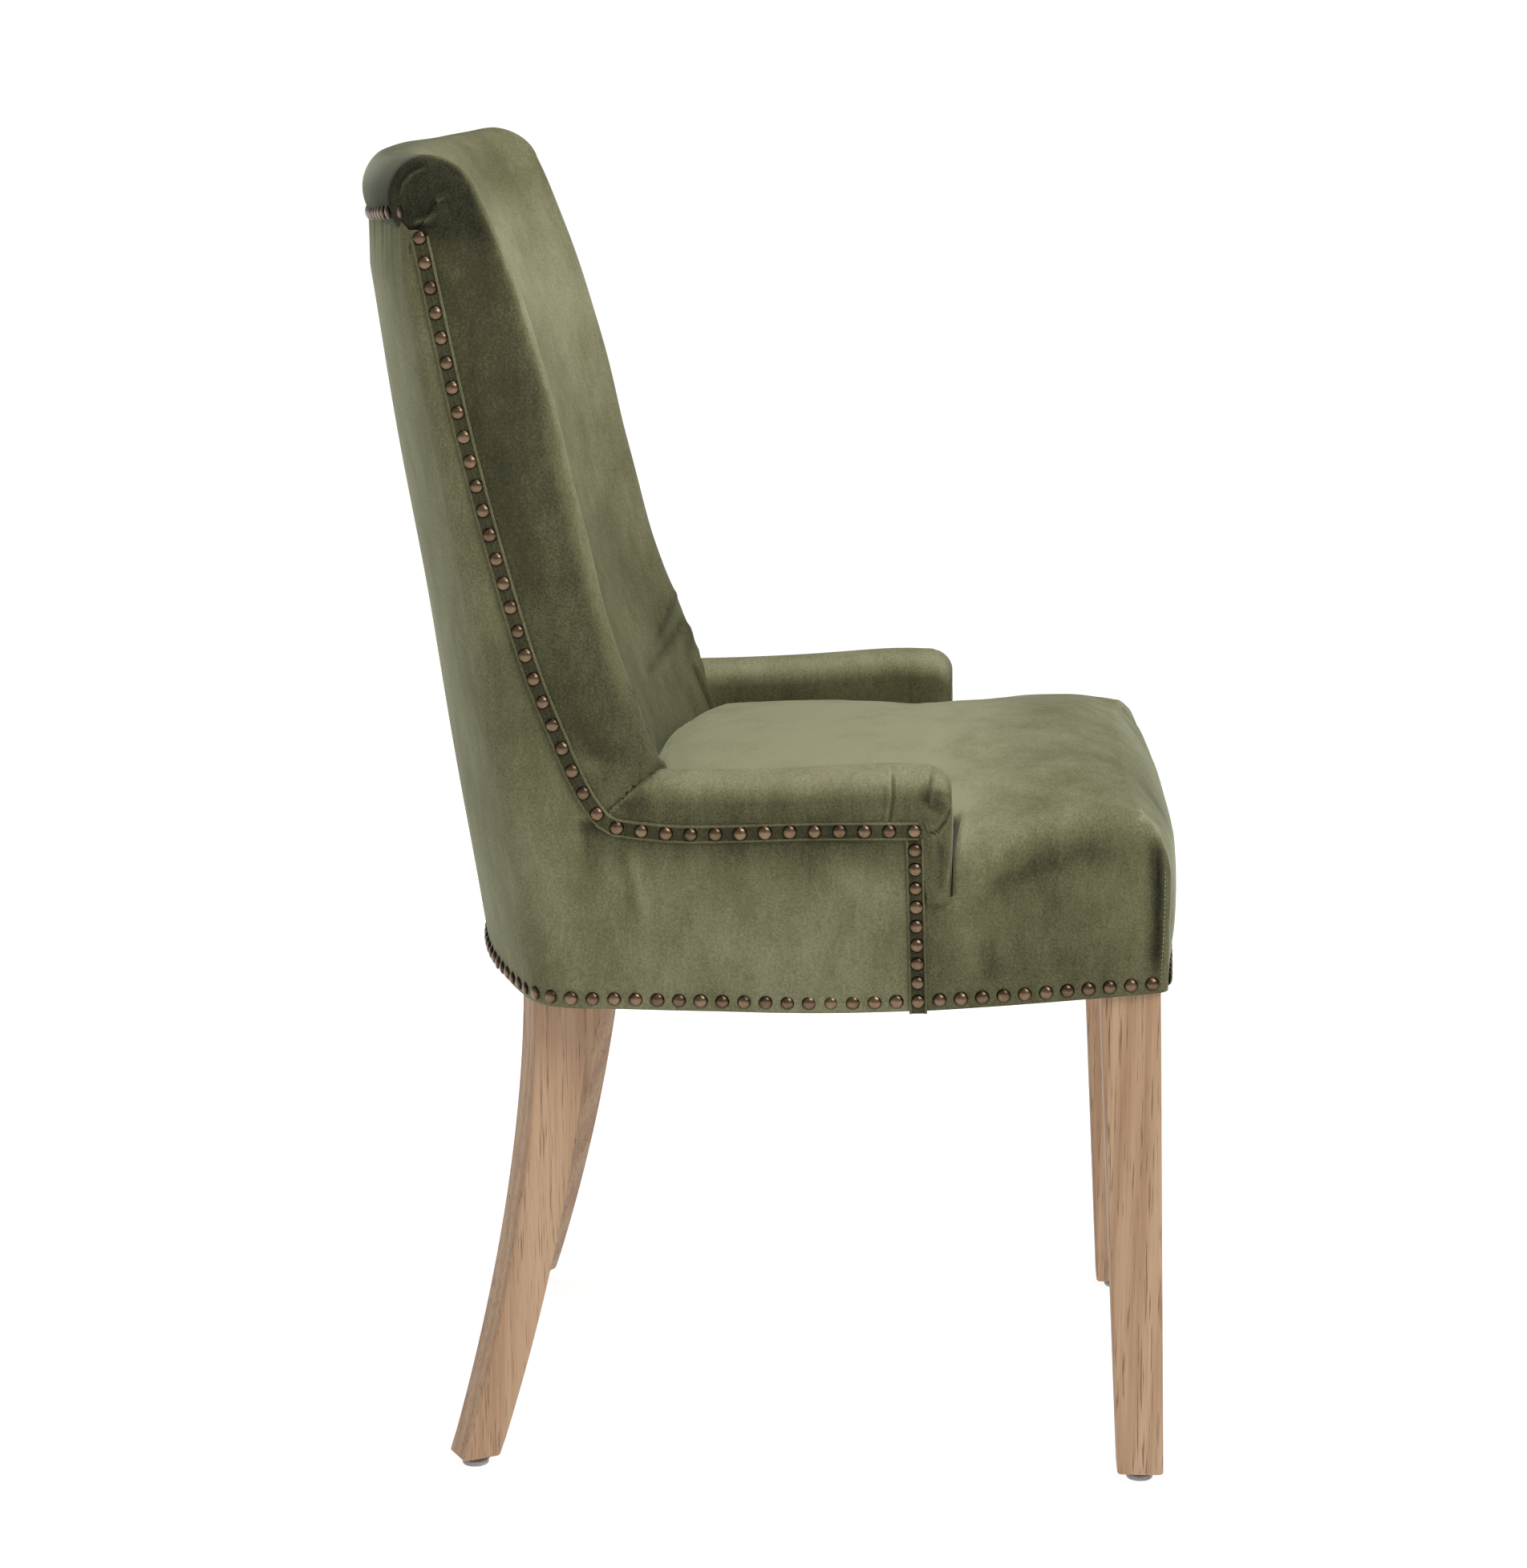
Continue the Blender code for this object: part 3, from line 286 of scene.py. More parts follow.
def bridge(shape, upper, lower, closed=True):
    """Faces between two rows of vertices."""
    count = len(upper)
    for i in range(count if closed else count - 1):
        j = (i + 1) % count
        shape.faces.new((upper[i], upper[j], lower[j], lower[i]))


def welded(name, patches, capped=False):
    """One smooth mesh from grids of points, welded where they meet, with its normals outward."""
    shape = bmesh.new()
    for rows, closed in patches:
        corners = [[shape.verts.new(p) for p in row] for row in rows]
        for upper, lower in zip(corners, corners[1:]):
            bridge(shape, upper, lower, closed)
        if capped:
            shape.faces.new(corners[0])
            shape.faces.new(corners[-1])
    bmesh.ops.remove_doubles(shape, verts=shape.verts, dist=2e-5)
    bmesh.ops.dissolve_degenerate(shape, edges=shape.edges, dist=1e-6)
    bmesh.ops.recalc_face_normals(shape, faces=shape.faces)
    return new_object(name, smooth_mesh(name, shape))


def face_out(obj, inside):
    """Turns an open sheet's faces so that they look away from the inside point."""
    mesh = obj.data
    centres = np.array([p.center for p in mesh.polygons])
    normals = np.array([p.normal for p in mesh.polygons])
    if ((centres - np.array(inside)) * normals).sum() < 0:
        mesh.flip_normals()


def apply_modifiers(obj):
    graph = bpy.context.evaluated_depsgraph_get()
    mesh = bpy.data.meshes.new_from_object(obj.evaluated_get(graph))
    old = obj.data
    obj.modifiers.clear()
    obj.data = mesh
    bpy.data.meshes.remove(old)


def thicken(obj, thick):
    """Gives a sheet its thickness, inward."""
    solid = obj.modifiers.new("thickness", "SOLIDIFY")
    solid.thickness = thick
    solid.offset = -1
    solid.use_quality_normals = True
    apply_modifiers(obj)


def vertex_arrays(mesh):
    count = len(mesh.vertices)
    places, normals = np.empty(count * 3), np.empty(count * 3)
    mesh.vertices.foreach_get("co", places)
    mesh.vertices.foreach_get("normal", normals)
    return places.reshape(-1, 3), normals.reshape(-1, 3)


def set_places(mesh, places):
    mesh.vertices.foreach_set("co", places.astype(np.float32).ravel())
    mesh.update()


def set_tone(obj, tone):
    """Stores how light the velvet's pile lies at each vertex, for the material to read."""
    layer = obj.data.attributes.new("tone", "FLOAT", "POINT")
    layer.data.foreach_set("value", np.clip(tone, 0, 1).astype(np.float32))


# ---------------------------------------------------------------- folds
def fold_field(fold, flat):
    """Signed distance to a fold's line over its half width, and its strength along its length."""
    line = np.array(fold.points, float)
    starts, ends = line[:-1], line[1:]
    steps = ends - starts
    lengths = np.linalg.norm(steps, axis=1)
    before = np.concatenate([[0], np.cumsum(lengths)])
    best = np.full(len(flat), np.inf)
    signed = np.zeros(len(flat))
    share = np.zeros(len(flat))
    for i, (start, step, length) in enumerate(zip(starts, steps, lengths)):
        t = np.clip(((flat - start) @ step) / length**2, 0, 1)
        away = flat - (start + t[:, None] * step)
        distance = np.linalg.norm(away, axis=1)
        closer = distance < best
        best[closer] = distance[closer]
        cross = step[0] * away[:, 1] - step[1] * away[:, 0]
        signed[closer] = (np.sign(cross) * distance)[closer]
        share[closer] = ((before[i] + t * length) / before[-1])[closer]
    strength = ease(share / 0.25) * ease((1 - share) / 0.25)
    return signed / fold.wide, np.maximum(strength, 0.12)


def relief(obj, folds, axes, where):
    """Raises folds on the part of a mesh that where() picks, and returns how they change its tone."""
    places, normals = vertex_arrays(obj.data)
    tone = np.zeros(len(places))
    chosen = where(places, normals)
    flat = places[chosen][:, list(axes)]
    lift = np.zeros(len(flat))
    painted_fold_shade = np.zeros(len(flat))
    for fold in folds:
        across, strength = fold_field(fold, flat)
        bell = np.exp(-across**2) * strength
        lift += fold.high * bell + fold.lean * across * bell
        # painted shade in each crease and painted highlight on each ridge, by the fold's shade value
        painted_fold_shade += fold.shade * bell
    places[chosen] += normals[chosen] * lift[:, None]
    set_places(obj.data, places)
    tone[chosen] = painted_fold_shade
    return tone


def on_side(sign, least=0.75):
    """Picks the vertices of one side that face outward from it."""
    def where(places, normals):
        return (places[:, 0] * sign > 0.05) & (normals[:, 0] * sign > least)
    return where


def ripples(places, wave, seed):
    """A smooth sum of sines in 3-D, about -1 to 1, for slow unevenness of stuffed cloth."""
    rng = np.random.default_rng(seed)
    total = np.zeros(len(places))
    for _ in range(7):
        direction = rng.normal(size=3)
        direction /= np.linalg.norm(direction)
        length = wave * rng.uniform(0.7, 1.6)
        total += np.sin(places @ direction * 2 * math.pi / length + rng.uniform(0, 2 * math.pi))
    return total / 3.5


def uneven(obj, wave, high, seed, keep=None):
    """Makes stuffed cloth a little uneven."""
    places, normals = vertex_arrays(obj.data)
    lift = high * ripples(places, wave, seed)
    if keep is not None:
        lift *= keep(places)
    set_places(obj.data, places + normals * lift[:, None])


# ---------------------------------------------------------------- cloth simulation
def swell(obj, pressure, cap, held, voxel=None):
    """Inflates the cover against its pinned edges in a cloth simulation.

    A closed piece is simulated on an evenly remeshed copy, and its own finer mesh follows the copy.
    No point moves further than cap."""
    trial = linked(bpy.data.objects.new(f"{obj.name}_trial", obj.data.copy()))
    if voxel:
        remesh = trial.modifiers.new("even", "REMESH")
        remesh.mode = "VOXEL"
        remesh.voxel_size = voxel
        apply_modifiers(trial)
    before, _ = vertex_arrays(trial.data)
    pins = trial.vertex_groups.new(name="held")
    pins.add([int(i) for i in np.flatnonzero(held(before))], 1.0, "REPLACE")
    cloth = trial.modifiers.new("cloth", "CLOTH")
    cloth.settings.quality = 5
    cloth.settings.use_pressure = True
    cloth.settings.uniform_pressure_force = pressure
    cloth.settings.vertex_group_mass = "held"
    cloth.settings.effector_weights.gravity = 0
    cloth.collision_settings.use_collision = False
    cloth.point_cache.frame_end = SIM_FRAMES
    for frame_number in range(1, SIM_FRAMES + 1):
        bpy.context.scene.frame_set(frame_number)
    done = trial.evaluated_get(bpy.context.evaluated_depsgraph_get()).to_mesh()
    after, _ = vertex_arrays(done)
    moved = after - before
    far = np.linalg.norm(moved, axis=1)
    moved *= np.minimum(1, cap / np.maximum(far, 1e-9))[:, None]
    follow(obj, before, moved)
    trial.evaluated_get(bpy.context.evaluated_depsgraph_get()).to_mesh_clear()
    bpy.data.objects.remove(trial)
    bpy.context.scene.frame_set(1)


def follow(obj, before, moved):
    """Moves the mesh like the simulated points nearest to each of its vertices."""
    tree = KDTree(len(before))
    for i, place in enumerate(before):
        tree.insert(place, i)
    tree.balance()
    places, _ = vertex_arrays(obj.data)
    for i, place in enumerate(places):
        near = tree.find_n(place, 16)
        weights = np.exp(-np.array([(distance / FOLLOW_REACH) ** 2 for _, _, distance in near])) + 1e-9
        shift = (moved[[index for _, index, _ in near]] * weights[:, None]).sum(0) / weights.sum()
        places[i] = place + shift
    set_places(obj.data, places)


# ---------------------------------------------------------------- materials
def principled(name):
    made = bpy.data.materials.new(name)
    made.use_nodes = True
    shader = made.node_tree.nodes["Principled BSDF"]
    return made, made.node_tree, shader


def node(tree, kind, **values):
    made = tree.nodes.new(kind)
    for key, value in values.items():
        if hasattr(made, key):
            setattr(made, key, value)
        else:
            made.inputs[key.replace("_", " ")].default_value = value
    return made


def stretched(tree, scale):
    """Object coordinates times a scale for each axis."""
    place = node(tree, "ShaderNodeTexCoord")
    mapping = node(tree, "ShaderNodeMapping")
    mapping.inputs["Scale"].default_value = scale
    tree.links.new(place.outputs["Object"], mapping.inputs["Vector"])
    return mapping.outputs["Vector"]


def noise(tree, scale, detail=2.0, rough=0.5, vector=None):
    made = node(tree, "ShaderNodeTexNoise", Scale=scale, Detail=detail, Roughness=rough)
    tree.links.new(vector or stretched(tree, (1, 1, 1)), made.inputs["Vector"])
    return made.outputs["Fac"]


def maths(tree, operation, a, b):
    made = node(tree, "ShaderNodeMath", operation=operation)
    for socket, value in zip(made.inputs, (a, b)):
        if isinstance(value, (int, float)):
            socket.default_value = value
        else:
            tree.links.new(value, socket)
    return made.outputs[0]


def varied(tree, base, *fields):
    """A base value moved up and down by (field, amount) pairs, where a field runs from 0 to 1."""
    for field, amount in fields:
        centred = maths(tree, "SUBTRACT", field, 0.5)
        base = maths(tree, "ADD", base, maths(tree, "MULTIPLY", centred, amount))
    return base


def ramp(tree, factor, stops):
    made = node(tree, "ShaderNodeValToRGB")
    band = made.color_ramp
    while len(band.elements) < len(stops):
        band.elements.new(0.5)
    for element, (position, colour) in zip(band.elements, stops):
        element.position = position
        element.color = (*colour, 1.0)
    tree.links.new(factor, made.inputs["Fac"])
    return made.outputs["Color"]


def bump(tree, shader, height, strength, distance):
    made = node(tree, "ShaderNodeBump", Strength=strength, Distance=distance)
    tree.links.new(height, made.inputs["Height"])
    tree.links.new(made.outputs["Normal"], shader.inputs["Normal"])


def velvet():
    """Cut pile: dark where it is looked into, light where it lies over, with a fine grain."""
    made, tree, shader = principled("velvet_cloth")
    tone = node(tree, "ShaderNodeAttribute", attribute_name="tone").outputs["Fac"]
    clouds = noise(tree, 16.0, 4.0, 0.55, stretched(tree, (1.0, 1.0, 0.7)))
    strokes = noise(tree, 60.0, 3.0, 0.6, stretched(tree, (1.0, 1.0, 0.45)))
    grain = noise(tree, 620.0, 2.0, 0.6)
    threads = noise(tree, 260.0, 2.0, 0.6, stretched(tree, (1.0, 1.0, 0.25)))
    total = varied(tree, tone, (clouds, 0.55), (strokes, 0.22), (threads, 0.16), (grain, 0.55))
    colour = ramp(tree, total, (
        (0.0, (0.016, 0.015, 0.009)),
        (0.3, (0.054, 0.051, 0.025)),
        (0.6, (0.125, 0.12, 0.06)),
        (1.0, (0.265, 0.256, 0.158))))
    tree.links.new(colour, shader.inputs["Base Color"])
    shader.inputs["Roughness"].default_value = 0.85
    shader.inputs["Specular IOR Level"].default_value = 0.12
    shader.inputs["Sheen Weight"].default_value = 0.4
    shader.inputs["Sheen Roughness"].default_value = 0.26
    shader.inputs["Sheen Tint"].default_value = (0.8, 0.84, 0.62, 1.0)
    bump(tree, shader, maths(tree, "ADD", grain, strokes), 0.35, 0.0004)
    return made


def oak():
    """Pale oak, sawn along Z: slow rings, straight grain and short dark pores."""
    made, tree, shader = principled("oak_wood")
    slow = noise(tree, 1.0, 3.0, 0.5, stretched(tree, (22, 22, 2.2)))
    rings = node(tree, "ShaderNodeTexWave", wave_type="BANDS", bands_direction="DIAGONAL", Scale=1.0,
                 Distortion=5.5, Detail=2.5)
    rings.inputs["Detail Scale"].default_value = 1.4
    tree.links.new(stretched(tree, (34, 34, 1.6)), rings.inputs["Vector"])
    fibres = noise(tree, 1.0, 4.0, 0.65, stretched(tree, (420, 420, 9)))
    pores = noise(tree, 1.0, 2.0, 0.5, stretched(tree, (780, 780, 26)))
    grain = maths(tree, "ADD", maths(tree, "MULTIPLY", rings.outputs["Fac"], 0.16),
                  maths(tree, "MULTIPLY", fibres, 0.5))
    grain = maths(tree, "ADD", grain, maths(tree, "MULTIPLY", slow, 0.4))
    colour = ramp(tree, grain, (
        (0.22, (0.215, 0.115, 0.06)),
        (0.42, (0.345, 0.205, 0.115)),
        (0.6, (0.43, 0.275, 0.165)),
        (0.9, (0.52, 0.36, 0.23))))
    pits = ramp(tree, pores, ((0.3, (0.36, 0.3, 0.25)), (0.42, (1, 1, 1))))
    both = node(tree, "ShaderNodeMix", data_type="RGBA", blend_type="MULTIPLY")
    both.inputs[0].default_value = 0.85
    tree.links.new(colour, both.inputs[6])
    tree.links.new(pits, both.inputs[7])
    tree.links.new(both.outputs[2], shader.inputs["Base Color"])
    shader.inputs["Roughness"].default_value = 0.52
    shader.inputs["Specular IOR Level"].default_value = 0.35
    bump(tree, shader, maths(tree, "ADD", pores, fibres), 0.25, 0.0005)
    return made


def bronze():
    """Antique bronze domes: warm on top, dark in the rim."""
    made, tree, shader = principled("antique_bronze")
    tone = node(tree, "ShaderNodeAttribute", attribute_name="tone").outputs["Fac"]
    wear = noise(tree, 240.0, 3.0, 0.6)
    colour = ramp(tree, varied(tree, tone, (wear, 0.5)), (
        (0.05, (0.012, 0.008, 0.005)),
        (0.5, (0.085, 0.056, 0.034)),
        (1.0, (0.27, 0.185, 0.112))))
    tree.links.new(colour, shader.inputs["Base Color"])
    shader.inputs["Metallic"].default_value = 1.0
    rough = maths(tree, "ADD", maths(tree, "MULTIPLY", wear, 0.2), 0.16)
    tree.links.new(rough, shader.inputs["Roughness"])
    return made


def speckled(name, dark, light, scale, rough, sheen=0.0):
    """A plain finish with a fine two-colour grain and a little bump."""
    made, tree, shader = principled(name)
    fine = noise(tree, scale, 3.0, 0.6)
    tree.links.new(ramp(tree, fine, ((0.3, dark), (0.7, light))), shader.inputs["Base Color"])
    shader.inputs["Roughness"].default_value = rough
    shader.inputs["Sheen Weight"].default_value = sheen
    bump(tree, shader, fine, 0.3, 0.0003)
    return made


VELVET = velvet()
OAK = oak()
BRONZE = bronze()
FELT = speckled("grey_felt", (0.16, 0.15, 0.15), (0.42, 0.41, 0.41), 900, 0.95, 0.3)
PLASTIC = speckled("brown_nylon", (0.05, 0.026, 0.018), (0.085, 0.046, 0.032), 300, 0.45)
LINING = speckled("black_lining", (0.012, 0.012, 0.013), (0.03, 0.03, 0.031), 1400, 0.9)
BEECH = speckled("beech_wood", (0.42, 0.27, 0.16), (0.6, 0.43, 0.28), 180, 0.7)
WEBBING = speckled("webbing_cloth", (0.12, 0.1, 0.07), (0.34, 0.28, 0.2), 700, 0.9)
FOAM = speckled("foam_block", (0.55, 0.5, 0.34), (0.78, 0.72, 0.52), 500, 0.95)
STITCH = speckled("stitch_thread", (0.16, 0.16, 0.1), (0.34, 0.34, 0.24), 1200, 0.8)


def dress(obj, material, slot_name, *nodes):
    """Gives a piece its material and slot, and hides the solids that it stands for."""
    obj.data.materials.clear()
    obj.data.materials.append(material)
    if nodes:
        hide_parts(*nodes)


# ---------------------------------------------------------------- outside cover
def shell_table(low, high, count=150):
    """The shell's outline behind the nail line at many heights: heights, and points by height and column."""
    heights = spread(low, high, count)
    return np.array(heights), np.array([shell_behind(z, along(NAIL_LINE, z)) for z in heights])


def outside_cover():
    """One stretch of velvet from the left arm's front round the back to the right arm's front."""
    heights, outlines = shell_table(BASE_Z, 0.965)
    columns = outlines.shape[1]
    fronts = spread(COLUMN_Y, 0.1165, 58)

    def behind(i, z):
        x = float(np.interp(z, heights, outlines[:, i, 0]))
        y = float(np.interp(z, heights, outlines[:, i, 1]))
        return x, y, z

    def head_z(i):
        x = float(np.interp(SCROLL_NAIL_Z, heights, outlines[:, i, 0]))
        round_end = 0.012 * float(ease((x - 0.211) / 0.01))
        return scroll_nail_z(min(x, SCROLL_HALF)) - 0.0035 - round_end

    patches = []
    for _, sign in SIDES:
        low_rows, high_rows = [], []
        for v in spread(0, 1, 32):
            levels = [mix(base_z(y), along(ARM_LINE, y), v) for y in fronts]
            row = [(side_x(y, z), y, z) for y, z in zip(fronts, levels)]
            row += [behind(i, mix(BASE_Z, BEND_Z, v)) for i in range(columns)]
            low_rows.append([(sign * x, y, z) for x, y, z in row])
        for v in spread(0, 1, 92):
            row = [behind(i, mix(BEND_Z, head_z(i), v)) for i in range(columns)]
            high_rows.append([(sign * x, y, z) for x, y, z in row])
        patches += [(low_rows, False), (high_rows, False)]
    cover = welded("outside_cover", patches)
    face_out(cover, (0, 0.05, 0.45))
    finish_outside(cover)


def finish_outside(cover):
    """Gathers under the scroll, soft drag lines on the sides, then thickness and the lie of the pile."""
    places, normals = vertex_arrays(cover.data)
    head = scroll_nail_z(0) + (places[:, 0] / SCROLL_HALF) ** 2 * SCROLL_NAIL_RISE
    below = head - places[:, 2]
    gather = np.exp(-below / 0.018) * (normals[:, 1] > 0.2)
    phase = places[:, 0] * 2 * math.pi / 0.0145 + 1.3 * np.sin(places[:, 0] * 61) + below * 9
    wave = np.sin(phase) + 0.5 * np.sin(phase * 0.47 + 1.0)
    rise = 0.001 * ripples(places, 0.16, 3)
    edge = ease(below / 0.01)
    set_places(cover.data, places + normals * (0.0011 * gather * wave * edge + rise)[:, None])
    tone = np.zeros(len(places))
    for _, sign in SIDES:
        tone += relief(cover, OUTSIDE_FOLDS, (1, 2), on_side(sign))
    places, normals = vertex_arrays(cover.data)
    levels = spread(0.36, 0.97, 123)
    trim_y = np.interp(places[:, 2], levels, [along(NAIL_LINE, z) for z in levels])
    from_trim = np.where(places[:, 2] > 0.505, places[:, 1] - trim_y, 1.0)
    under_arm = np.where((places[:, 2] < 0.512) & (places[:, 1] < 0.13), 0.508 - places[:, 2], 1.0)
    # painted shade: darker in the recess beside the trim and under the arm's roll, over the pile's even base
    # tone
    tone += 0.67 - 0.09 * np.exp(-((from_trim / 0.026) ** 2)) - 0.34 * np.exp(-((under_arm / 0.024) ** 2))
    # painted shade in the gathers, a little lighter on their ridges
    tone += 0.07 * gather * wave - 0.1 * gather
    set_tone(cover, tone)
    thicken(cover, SKIN)
    dress(cover, VELVET, "velvet", "outside_back_panel", "outside_arm_left_panel", "outside_arm_right_panel")


OUTSIDE_FOLDS = (
    Fold([(0.102, 0.5), (0.096, 0.47), (0.088, 0.435)], 0.004, 0.0008, 0.0014, -0.16),
    Fold([(0.095, 0.5), (0.089, 0.47), (0.081, 0.435)], 0.005, 0.0006, 0.0, 0.12),
    Fold([(0.135, 0.52), (0.128, 0.478), (0.13, 0.44)], 0.016, -0.0012, 0.0, -0.1),
    Fold([(-0.04, 0.5), (-0.075, 0.47), (-0.105, 0.455)], 0.014, 0.001, 0.0012, 0.05),
    Fold([(0.06, 0.43), (-0.02, 0.415), (-0.1, 0.418)], 0.02, 0.001, 0.0, 0.05),
    Fold([(0.165, 0.56), (0.185, 0.6), (0.205, 0.66)], 0.016, -0.001, 0.0, -0.08),
)


# ---------------------------------------------------------------- inside back and scroll
def section(half, start, reach, radius, sag):
    """Half a section of the back: out along the band, round the nose, in over the hollow face.

    Gives (x, forward) pairs, where forward grows away from the band's rear edge."""
    lean = math.atan(2 * sag / (half - radius))
    centre_x, centre_f = half - radius, reach - radius
    line = [(half, f) for f in spread(start, centre_f, BAND_COLUMNS)[:-1]]
    line += [(centre_x + radius * math.cos(a), centre_f + radius * math.sin(a))
             for a in spread(0, math.pi / 2 + lean, NOSE_COLUMNS)]
    edge_x, edge_f = line[-1]
    depth = sag - (reach - edge_f)
    line += [(edge_x * f, edge_f - depth * (1 - f * f)) for f in spread(1, 0, FACE_COLUMNS + 1)[1:]]
    return line


def upright_row(z):
    """The wings and the inside face at one height."""
    rear = along(NAIL_LINE, z)
    front = along(WING_FRONT, z)
    radius = mix(WING_RADIUS, WING_RADIUS_TOP, float(ease((z - 0.86) / 0.07)))
    under = -0.0085 * float(ease((z - 0.89) / 0.025))
    half = along(HALF_WIDTH, z)
    return [(x - 0.0012 * float(f < 0.001), rear - f, z)
            for x, f in section(half, under, rear - front, radius, INSIDE_SAG)]


def scroll_row(angle):
    """One lengthwise line of the scroll at this angle round its axis, end caps included."""
    t = float(ease((angle - math.radians(14)) / math.radians(60)))
    half = mix(along(HALF_WIDTH, BACK_HEAD_Z), SCROLL_HALF + 0.003, t)
    radius = mix(WING_RADIUS_TOP, SCROLL_END_ROUND, t)
    return [(x, scroll_axis_y(x) - f * math.cos(angle), SCROLL_Z + f * math.sin(angle))
            for x, f in section(half, 0.0, SCROLL_RADIUS, radius, 0.0)]


def blended(lower, upper, count):
    """Rows that lead from one row to another along smooth curves."""
    return [[tuple(mix(np.array(a), np.array(b), t)) for a, b in zip(lower, upper)]
            for t in spread(0, 1, count)[1:-1]]


def inside_back():
    """The inside back, its two wings, and the scroll it rolls over into: one padded form."""
    rows = [upright_row(z) for z in spread(BACK_FOOT_Z, BACK_HEAD_Z, 88)]
    turned = [scroll_row(math.radians(a)) for a in spread(16, 330, 64)]
    rows += blended(rows[-1], turned[0], 8) + turned
    whole = [[(-x, y, z) for x, y, z in row] + row[-2::-1] for row in rows]
    back = welded("inside_back", [(whole, False)])
    face_out(back, (0, 0.3, 0.72))
    finish_inside(back)


def finish_inside(back):
    """Tucks the wings' feet behind the arms, then creases, unevenness, thickness and pile."""
    places, normals = vertex_arrays(back.data)
    under = ease(below_seam(places) / 0.0035) * (np.abs(places[:, 0]) > 0.216) * (places[:, 1] < 0.127)
    places[:, 0] -= np.sign(places[:, 0]) * 0.012 * under
    set_places(back.data, places)
    swell(back, pressure=1.6, cap=0.003, held=back_held)
    uneven(back, wave=0.11, high=0.0009, seed=11)
    tone = np.zeros(len(places))
    for _, sign in SIDES:
        tone += relief(back, BAND_FOLDS, (1, 2), on_side(sign, 0.5))
        tone += relief(back, INSIDE_FOLDS, (1, 2), inner_corner(sign))
    places, normals = vertex_arrays(back.data)
    high = (places[:, 2] - BACK_FOOT_Z) / (BACK_HEAD_Z - BACK_FOOT_Z)
    sideways = np.abs(normals[:, 0]) * (np.sign(normals[:, 0]) == np.sign(places[:, 0]))
    band = ease((sideways - 0.42) / 0.5) * (np.abs(places[:, 0]) > 0.16)
    over = ease((places[:, 1] - 0.262 + 0.9 * places[:, 0] ** 2) / 0.05) * (places[:, 2] > 0.93)
    # painted shade: the inside face darker towards its foot, over the scroll's top and on its back
    face_tone = 0.84 - 0.36 * ease(1 - high / 0.9) - 0.26 * ease((high - 0.98) / 0.1) - 0.58 * over
    band_tone = 0.31 + 0.11 * ease(1 - high / 0.5) - 0.17 * ease((high - 0.98) / 0.05)
    tone += mix(face_tone, band_tone, band)
    set_tone(back, tone)
    thicken(back, SKIN)
    dress(back, VELVET, "velvet", "inside_back_cover", "back_foam", "scroll_cover", "scroll_foam",
          "scroll_left_end", "scroll_right_end")


def back_held(places):
    """The foot, the rear edges of the wings, the seams to the arms, and the scroll's underside."""
    trim_y = np.interp(places[:, 2], [k[0] for k in NAIL_LINE], [k[1] for k in NAIL_LINE])
    wing = (np.abs(places[:, 0]) > 0.2) & (places[:, 1] > trim_y - 0.01)
    seam = (np.abs(places[:, 0]) > 0.19) & (below_seam(places) > -0.004) & (places[:, 1] < 0.13)
    return wing | seam | (places[:, 2] < 0.51) | (places[:, 1] > 0.295)


def below_seam(places):
    """Depth below the seam that climbs forward from the trim's bend to the foot of the wing."""
    return 0.556 - (places[:, 1] - 0.073) * 0.95 - places[:, 2]


def inner_corner(sign):
    """Picks the lower inside face next to one wing."""
    def where(places, normals):
        return (places[:, 0] * sign > 0.1) & (normals[:, 0] * sign < 0.1) & (places[:, 2] < 0.7)
    return where


BAND_FOLDS = (
    Fold([(0.26, 0.964), (0.258, 0.9735), (0.2515, 0.9805), (0.239, 0.987)], 0.0012, 0.0012, 0.001, 0.3),
    Fold([(0.262, 0.964), (0.26, 0.9745), (0.253, 0.9822), (0.24, 0.989)], 0.002, -0.001, 0.0, -0.12),
    Fold([(0.2535, 0.944), (0.241, 0.9488), (0.227, 0.9535)], 0.0016, 0.0016, 0.001, 0.46),
    Fold([(0.2535, 0.9405), (0.241, 0.945), (0.229, 0.949)], 0.0022, -0.0012, 0.0, -0.12),
    Fold([(0.244, 0.93), (0.225, 0.9), (0.208, 0.86)], 0.01, -0.0008, 0.0, -0.04),
    Fold([(0.15, 0.57), (0.13, 0.555), (0.11, 0.552)], 0.007, 0.0012, 0.001, 0.12),
    Fold([(0.14, 0.6), (0.12, 0.565), (0.095, 0.56)], 0.008, -0.0012, 0.0, -0.1),
)
INSIDE_FOLDS = (
    Fold([(0.09, 0.615), (0.096, 0.595), (0.108, 0.57)], 0.003, 0.0014, 0.0008, -0.18),
    Fold([(0.08, 0.59), (0.095, 0.57), (0.112, 0.556)], 0.004, -0.0016, 0.0, -0.2),
    Fold([(0.092, 0.62), (0.082, 0.59), (0.079, 0.55)], 0.003, 0.0012, 0.0, -0.14),
)


# ---------------------------------------------------------------- seat
def inside_face_y(x, z):
    """The inside back's surface at one point."""
    rear, front = along(NAIL_LINE, z), along(WING_FRONT, z)
    line = section(along(HALF_WIDTH, z), 0.0, rear - front, WING_RADIUS, INSIDE_SAG)
    face = line[BAND_COLUMNS + NOSE_COLUMNS:][::-1]
    xs = [x for x, _ in face]
    ys = [rear - forward for _, forward in face]
    return float(np.interp(abs(x), xs, ys))


def arm_inner_x(y):
    return side_x(y, ARM_NAIL_Z) + ARM_OUT - ARM_THICK


